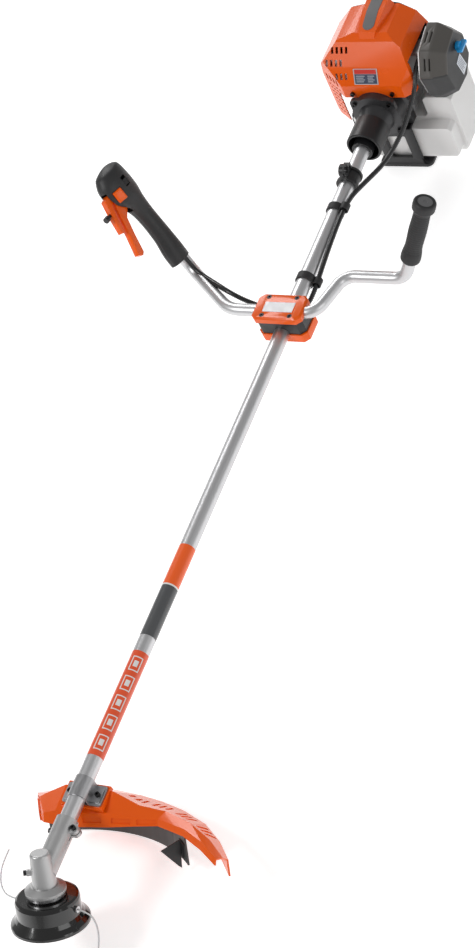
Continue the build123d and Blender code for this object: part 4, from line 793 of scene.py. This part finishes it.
class TRIMMER_OT_tube_labels(bpy.types.Operator):
    """Plain films round the tube: pictogram panels without lettering, a grey and an orange one."""
    bl_idname = "trimmer.tube_labels"
    bl_label = "Tube labels"

    def execute(self, context):
        for name, x0, x1, finish_name in LABELS:
            fit(wrap(name, x0, x1, film(finish_name)), "frame", "orange_plastic")
        white = film("label_white")
        for k in range(5):
            x = 122 + 37 * k
            outer = wrap("label_panel_%d" % k, x, x + 27, white, 0.2, -1.15, 0.1)
            inner = wrap("label_panel_field_%d" % k, x + 2, x + 25, film("label_orange_red"),
                         0.28, -1.02, -0.03)
            sign = wrap("label_panel_sign_%d" % k, x + 8, x + 19, white, 0.36, -0.78, -0.26, 96)
            for made in (outer, inner, sign):
                fit(made, "frame", "zinc_plate")
        stripe = wrap("label_grey_stripe", 437, 440, white, 0.2)
        fit(stripe, "frame", "zinc_plate")
        return {"FINISHED"}


# ------------------------------------------------------------------ conduit
LOOM_START = ((1088.74, 210.13, 65.88), (1085.98, 204.14, 53.53))
LOOM_ROUTE = LOOM_START + (
    (1081, 195, 42), (1073, 178, 35), (1056, 149, 39), (1037, 112, 37), (1034, 78, 15), (1041, 45, -9),
    (1052, 14, -25), (1065, -10, -23), (1085, -21, -9), (1128, -21, -2), (1182, -20, 4),
    (1246, -20, 9), (1292, -22, 9), (1335, -36, 4), (1393, -53, -5), (1450, -72, 12),
    (1491, -82, 36), (1523, -87, 56), (1542, -87, 79), (1571, -87, 80),
)


def route_curve(name, route, matrix=WORLD, bevel=0.0):
    """One smooth line with the route's points as its control points."""
    data = bpy.data.curves.new(name, "CURVE")
    data.dimensions = "3D"
    line = data.splines.new("NURBS")
    line.points.add(len(route) - 1)
    for point, place in zip(line.points, route):
        point.co = (*(matrix @ Vector(place)), 1.0)
    line.order_u = 3
    line.use_endpoint_u = True
    line.resolution_u = 12
    data.bevel_depth = bevel
    data.bevel_resolution = 4
    data.use_fill_caps = bevel > 0
    return link_object(name, data)


class TRIMMER_OT_conduit(bpy.types.Operator):
    """The ribbed conduit from the throttle grip to the carburettor."""
    bl_idname = "trimmer.conduit"
    bl_label = "Throttle conduit"

    def execute(self, context):
        line = route_curve("throttle_conduit_ribbed", LOOM_ROUTE)
        grow(line, corrugated_tree(), Radius=sizes().conduit_d / 2, Step=sizes().rib_pitch / 2,
             Groove=0.24, Material=look("conduit_black"))
        tube = settle(line)
        outward(tube)
        smooth(tube, 80.0)
        fit(tube, "frame", "black_plastic", "throttle_conduit")
        return {"FINISHED"}


# ------------------------------------------------------------------ cutting lines
LINE_ROUTE = ((0, 54, -50), (3, 76, -51), (24, 101, -52), (55, 124, -53), (96, 146, -55), (136, 161, -57))


class TRIMMER_OT_cutting_lines(bpy.types.Operator):
    """The two nylon cutting lines."""
    bl_idname = "trimmer.cutting_lines"
    bl_label = "Cutting lines"

    def execute(self, context):
        for name, turn in (("a", 0.0), ("b", math.pi)):
            matrix = HEAD @ Matrix.Rotation(turn, 4, "Z")
            line = route_curve("line_" + name, LINE_ROUTE, matrix, sizes().line_d / 2)
            line.data.materials.append(look("nylon_line"))
            fit(line, "cutting_head", "line_nylon", "cutting_line_" + name)
        return {"FINISHED"}


# ------------------------------------------------------------------ throttle grip
CASE_SECTIONS = ((-10, 9, 22, 17), (14, 8, 21.5, 18), (45, 5, 18.5, 16.5), (95, 5, 18, 16.5),
                 (122, 8, 22, 20), (145, 15, 34, 24), (175, 17, 36, 25), (196, 13, 29.5, 19.5), (200.5, 12, 23, 13),
                 (203.5, 11, 14, 7.5), (205, 11, 6, 3))
CASE_STEPS = 64
SEAM = 0.7


def blended(rows, position):
    """A smooth value between rows, each led by its height."""
    position = min(max(position, rows[0][0]), rows[-1][0])
    i = max(k for k in range(len(rows) - 1) if rows[k][0] <= position)
    a, b = rows[i], rows[i + 1]
    before = rows[max(i - 1, 0)]
    after = rows[min(i + 2, len(rows) - 1)]
    span = b[0] - a[0]
    t = (position - a[0]) / span
    result = []
    for k in range(1, len(a)):
        into = (b[k] - before[k]) / max(b[0] - before[0], 1e-6) * span
        out = (after[k] - a[k]) / max(after[0] - a[0], 1e-6) * span
        result.append((2 * t ** 3 - 3 * t ** 2 + 1) * a[k] + (t ** 3 - 2 * t ** 2 + t) * into
                      + (3 * t ** 2 - 2 * t ** 3) * b[k] + (t ** 3 - t ** 2) * out)
    return result


def case_points(heights):
    points = []
    for h in heights:
        middle, toward, across = blended(CASE_SECTIONS, h)
        for k in range(CASE_STEPS):
            turn = 2 * math.pi * k / CASE_STEPS
            seam = SEAM if k in (0, CASE_STEPS // 2) else 0.0
            points.append((middle + (toward - seam) * math.cos(turn), across * math.sin(turn), h))
    return points


class TRIMMER_OT_throttle_grip(bpy.types.Operator):
    """The throttle grip's moulded case with its seam, and the two levers with soft edges."""
    bl_idname = "trimmer.throttle_grip"
    bl_label = "Throttle grip"

    def execute(self, context):
        matrix = grip_frame(1)
        heights = [-10 + 3.0 * k for k in range(69)] + [197, 199, 201, 203, 204.3, 205]
        n = CASE_STEPS
        points = case_points(heights)
        faces = [tuple(range(n)), tuple(range(len(points) - n, len(points)))]
        for level in range(len(heights) - 1):
            a = level * n
            faces += [(a + k, a + (k + 1) % n, a + n + (k + 1) % n, a + n + k) for k in range(n)]
        case = from_faces("throttle_case", points, faces, matrix, look("black_textured"))
        combine(case, block((20, -7.5, 116), (80, 7.5, 173), matrix))
        switch = matrix @ Matrix.Translation((38, 19, 156)) @ Matrix.Rotation(math.radians(-30), 4, "Z")
        combine(case, block((-10, -3, -17), (10, 20, 12), switch))
        combine(case, block((6, 14, 158), (18, 40, 178), matrix))
        smooth(case, 34.0)
        fit(case, "frame", "case_plastic", "throttle_case_front", "throttle_case_rear")
        for cad_node, body in (("throttle_trigger", "trigger"), ("trigger_lockout", "lockout"),
                               ("stop_switch", "stop_slider")):
            made = copy_of(cad_node, cad_node + "_moulded", look("orange_plastic"))
            soften(made, sizes().moulding_edge, 3)
            fit(made, body, "orange_plastic", cad_node)
        slider = block((7, 16, 160), (17, 24.5, 172), matrix, "choke_slider", look("black_satin"))
        soften(slider, 1.0 * MM, 2)
        fit(slider, "frame", "black_plastic")
        return {"FINISHED"}


# ------------------------------------------------------------------ plain grip
class TRIMMER_OT_plain_grip(bpy.types.Operator):
    """The left grip: waisted rubber with fine ribs and a grey disc in its end."""
    bl_idname = "trimmer.plain_grip"
    bl_label = "Plain grip"

    def execute(self, context):
        shape = ((0, 15.2), (4, 17.3), (16, 17.3), (34, 15.2), (70, 15.8), (100, 14.9), (112, 15.2), (116, 18.6),
                 (118, 19.8), (131, 19.8), (133.8, 18.0))
        profile = [(11.05, 0.2)]
        steps = 84
        for k in range(steps + 1):
            h = 133.8 * k / steps
            radius = blended(shape, h)[0]
            ribbed = 22 < h < 110
            profile.append((radius - (0.55 if ribbed and k % 3 == 1 else 0.0), max(h, 0.2)))
        profile += [(13.5, 133.9), (13.0, 132.4), (0, 132.4), (0, 118.2), (11.05, 118.2)]
        grip = lathe(profile, grip_frame(-1), "plain_grip_rubber", look("grip_rubber"))
        smooth(grip, 40.0)
        fit(grip, "frame", "grip_rubber", "plain_grip")
        disc = lathe([(0, 132.5), (12.9, 132.5), (12.9, 133.5), (4.2, 133.7), (3.6, 132.9), (0, 132.9)],
                     grip_frame(-1), "plain_grip_disc", look("inlay_grey"))
        smooth(disc, 40.0)
        fit(disc, "frame", "black_plastic")
        return {"FINISHED"}


# ------------------------------------------------------------------ soft-edged copies
SOFTENED = (
    ("clamp_cap", "orange_plastic", 1.2, "orange_plastic"),
    ("clamp_base", "orange_plastic", 1.4, "orange_plastic"),
    ("clamp_block", "black_plastic", 1.0, "black_satin"),
    ("tank_stand", "black_plastic", 1.6, "black_satin"),
    ("fuel_tank", "tank_white", 6.0, "tank_milk"),
    ("fuel_cap", "black_plastic", 0.8, "black_satin"),
    ("filter_knob", "blue_plastic", 0.8, "blue_gloss"),
    ("line_cutter", "steel", 0.3, "black_satin"),
    ("guard_skirt", "skirt_grey", 0.8, "skirt_grey"),
    ("starter_housing", "black_plastic", 1.0, "black_satin"),
    ("starter_grip", "black_plastic", 1.2, "black_satin"),
)


class TRIMMER_OT_soft_edges(bpy.types.Operator):
    """Mouldings and castings that keep their CAD shape and get rounded edges."""
    bl_idname = "trimmer.soft_edges"
    bl_label = "Soft edges"

    def execute(self, context):
        body_of = {n: body for body, names in frame["record"]["behaviour"]["bodies"].items() for n in names}
        for cad_node, slot, width, material in SOFTENED:
            made = copy_of(cad_node, cad_node + "_soft", look(material))
            soften(made, width * MM, 3)
            fit(made, body_of[cad_node], slot, cad_node)
        return {"FINISHED"}


# ------------------------------------------------------------------ clamp plate
class TRIMMER_OT_clamp_insert(bpy.types.Operator):
    """The bright plate let into the top of the handlebar clamp."""
    bl_idname = "trimmer.clamp_insert"
    bl_label = "Clamp insert"

    def execute(self, context):
        made = block((994, -29, 40.6), (1016, 29, 41.3), name="clamp_insert", material=look("zinc_plate"))
        soften(made, 0.25 * MM, 2)
        fit(made, "frame", "zinc_plate")
        return {"FINISHED"}


# ------------------------------------------------------------------ guard
# Quads of the guard's top, in millimetres in the head's frame: where the vents sit.
GUARD_VENTS = (
    ((156, -44, 67), (231, -42, 20), (158, -86, 48), (227, -82, 17)),
    ((158, -86, 48), (227, -82, 17), (168, -126, 38), (214, -128, 15)),
    ((168, -126, 38), (214, -128, 15), (152, -178, 34), (190, -180, 12)),
    ((152, -178, 34), (190, -180, 12), (130, -222, 24), (158, -222, 5)),
)
GUARD_WINDOWS = (
    ((114, 6, 20), (118, 6, 42), (126, -42, 20), (130, -42, 42)),
    ((126, -42, 20), (130, -42, 42), (140, -82, 20), (144, -82, 33)),
    ((140, -82, 20), (144, -82, 33), (151, -118, 20), (154, -118, 31)),
)


def quad_frame(quad, outwards):
    """A frame at the middle of a quad of the guard: X along the rim, Z out of the face."""
    a, b, c, d = (Vector(p) for p in quad)
    along = ((c + d) - (a + b)).normalized()
    face = along.cross((b + d) - (a + c)).normalized()
    if face.dot(Vector(outwards)) < 0:
        face = -face
    turn = Matrix((along, face.cross(along), face)).transposed().to_4x4()
    return HEAD @ Matrix.Translation((a + b + c + d) / 4) @ turn


class TRIMMER_OT_guard(bpy.types.Operator):
    """The orange guard with its facets, recesses and vent slots."""
    bl_idname = "trimmer.guard"
    bl_label = "Guard"

    def execute(self, context):
        made = copy_of("guard_shell", "guard_moulded", look("orange_plastic"))
        soften(made, 1.0 * MM, 3, 16.0)
        for quad in GUARD_VENTS:
            combine(made, slot_tool(quad_frame(quad, (0.3, 0, 1)), 3, 1, 12, 10, (6, 24, 22)))
        for quad in GUARD_WINDOWS:
            combine(made, slot_tool(quad_frame(quad, (-1, 0, 0)), 1, 1, 10, 10, (30, 8, 3)))
        flats(made, 30.0)
        fit(made, "frame", "orange_plastic", "guard_shell")
        return {"FINISHED"}


# ------------------------------------------------------------------ finishes on CAD nodes
FINISHES = {
    "cast_aluminium": ("gearbox_housing", "crankcase", "cylinder_block", "flywheel", "carburettor", "piston_and_rod"),
    "drawn_aluminium": ("shaft_tube", "handlebar"),
    "bright_steel": ("pinion_gear", "bevel_gear", "output_spindle", "ball_bearings", "drive_flange", "line_eyelets",
                     "spool_spring", "drive_shaft", "clutch_drum", "clutch_shoes", "crankshaft", "muffler"),
    "zinc_plate": ("guard_bracket", "guard_saddle"),
    "black_gloss": ("head_housing", "head_cover", "bump_knob"),
    "black_satin": ("line_spool", "harness_hanger", "lock_button", "vibration_collar", "starter_reel",
                    "spark_plug"),
    "housing_cast": ("clutch_housing",),
    "grip_rubber": ("conduit_clips",),
    "blue_gloss": ("primer_bulb",),
    "filter_foam": ("filter_element",),
    "bronze": ("shaft_bushes",),
    "screw_black": ("m5_screws",),
}


class TRIMMER_OT_finishes(bpy.types.Operator):
    """Metals and mouldings on the pieces whose shape is already right."""
    bl_idname = "trimmer.finishes"
    bl_label = "Finishes"

    def execute(self, context):
        for material, cad_nodes in FINISHES.items():
            for name in cad_nodes:
                slots = frame["nodes"][name].data.materials
                slots.clear()
                slots.append(look(material))
        return {"FINISHED"}


# ------------------------------------------------------------------ stage
VIEW_FROM = (-1543.8, -2117.6, 3094.4)
VIEW_ALONG = Vector((0.51126, 0.48032, -0.71267))
VIEW_RIGHT = Vector((0.34347, -0.87434, -0.34287))
LENS = 99.45
FLOOR_REACH = 12.0
MIDDLE = (0.0, 0.0, 0.1)
LIGHTS = (("key", (-1.6, 1.4, 2.6), MIDDLE, 0.9, 36.0), ("rim", (2.2, 1.8, 1.9), (0.8, 0.0, 0.1), 1.0, 24.0),
          ("fill", (-0.5, -2.6, 1.6), MIDDLE, 1.6, 14.0))


def area_light(name, place, target, size, power):
    data = bpy.data.lights.new(name, "AREA")
    data.size = size
    data.energy = power
    lamp = link_object(name, data)
    lamp.location = Vector(place)
    lamp.rotation_euler = (Vector(target) - Vector(place)).to_track_quat("-Z", "Y").to_euler()


class TRIMMER_OT_stage(bpy.types.Operator):
    """A pale floor, soft lights and the camera."""
    bl_idname = "trimmer.stage"
    bl_label = "Stage"

    def execute(self, context):
        scene = bpy.context.scene
        scene.view_settings.view_transform = "Standard"
        reach = FLOOR_REACH
        data = bpy.data.meshes.new("floor")
        data.from_pydata([(-reach, -reach, 0), (reach, -reach, 0), (reach, reach, 0), (-reach, reach, 0)], [],
                         [(0, 1, 2, 3)])
        floor_finish = moulded("floor_pale", (0.90, 0.90, 0.90), (0.6, 0.75), grain=60.0, bump=0.02, spread=0.01,
                               Emission_Color=(1.0, 1.0, 1.0, 1.0), Emission_Strength=0.55)
        link_object("floor", data, [floor_finish])
        world = bpy.data.worlds.new("studio")
        world.use_nodes = True
        set_in(world.node_tree.nodes["Background"], Color=(1.0, 1.0, 1.0, 1.0), Strength=0.36)
        scene.world = world
        for light in LIGHTS:
            area_light(*light)
        camera_data = bpy.data.cameras.new("camera")
        camera_data.lens = LENS
        camera_data.sensor_width = 36.0
        camera_data.clip_end = 50.0
        camera = link_object("camera", camera_data)
        back = -VIEW_ALONG.normalized()
        up = back.cross(VIEW_RIGHT).normalized()
        right = up.cross(back)
        turn = Matrix((right, up, back)).transposed().to_4x4()
        camera.matrix_world = Matrix.Translation(at(*VIEW_FROM)) @ turn
        scene.camera = camera
        return {"FINISHED"}


# ------------------------------------------------------------------ add-on
PIECES = (
    TRIMMER_OT_stage, TRIMMER_OT_finishes, TRIMMER_OT_soft_edges, TRIMMER_OT_engine_cover,
    TRIMMER_OT_filter_cover, TRIMMER_OT_guard, TRIMMER_OT_throttle_grip, TRIMMER_OT_plain_grip,
    TRIMMER_OT_clamp_insert, TRIMMER_OT_tube_labels, TRIMMER_OT_conduit, TRIMMER_OT_cutting_lines,
)


class TRIMMER_PT_pieces(bpy.types.Panel):
    """The trimmer's settings and pieces."""
    bl_idname = "TRIMMER_PT_pieces"
    bl_label = "String trimmer"
    bl_space_type = "VIEW_3D"
    bl_region_type = "UI"
    bl_category = "Trimmer"

    def draw(self, context):
        for group in (context.scene.trimmer_sizes, context.scene.trimmer_colours):
            for key in group.__annotations__:
                self.layout.prop(group, key)
        for piece in PIECES:
            self.layout.operator(piece.bl_idname)


CLASSES = (TrimmerColours, TrimmerSizes) + PIECES + (TRIMMER_PT_pieces,)


def register():
    for made in CLASSES:
        bpy.utils.register_class(made)
    bpy.types.Scene.trimmer_sizes = PointerProperty(type=TrimmerSizes)
    bpy.types.Scene.trimmer_colours = PointerProperty(type=TrimmerColours)


def unregister():
    del bpy.types.Scene.trimmer_colours
    del bpy.types.Scene.trimmer_sizes
    for made in reversed(CLASSES):
        bpy.utils.unregister_class(made)


def main():
    register()
    for piece in PIECES:
        family, action = piece.bl_idname.split(".")
        getattr(getattr(bpy.ops, family), action)()


if __name__ == "__main__":
    main()
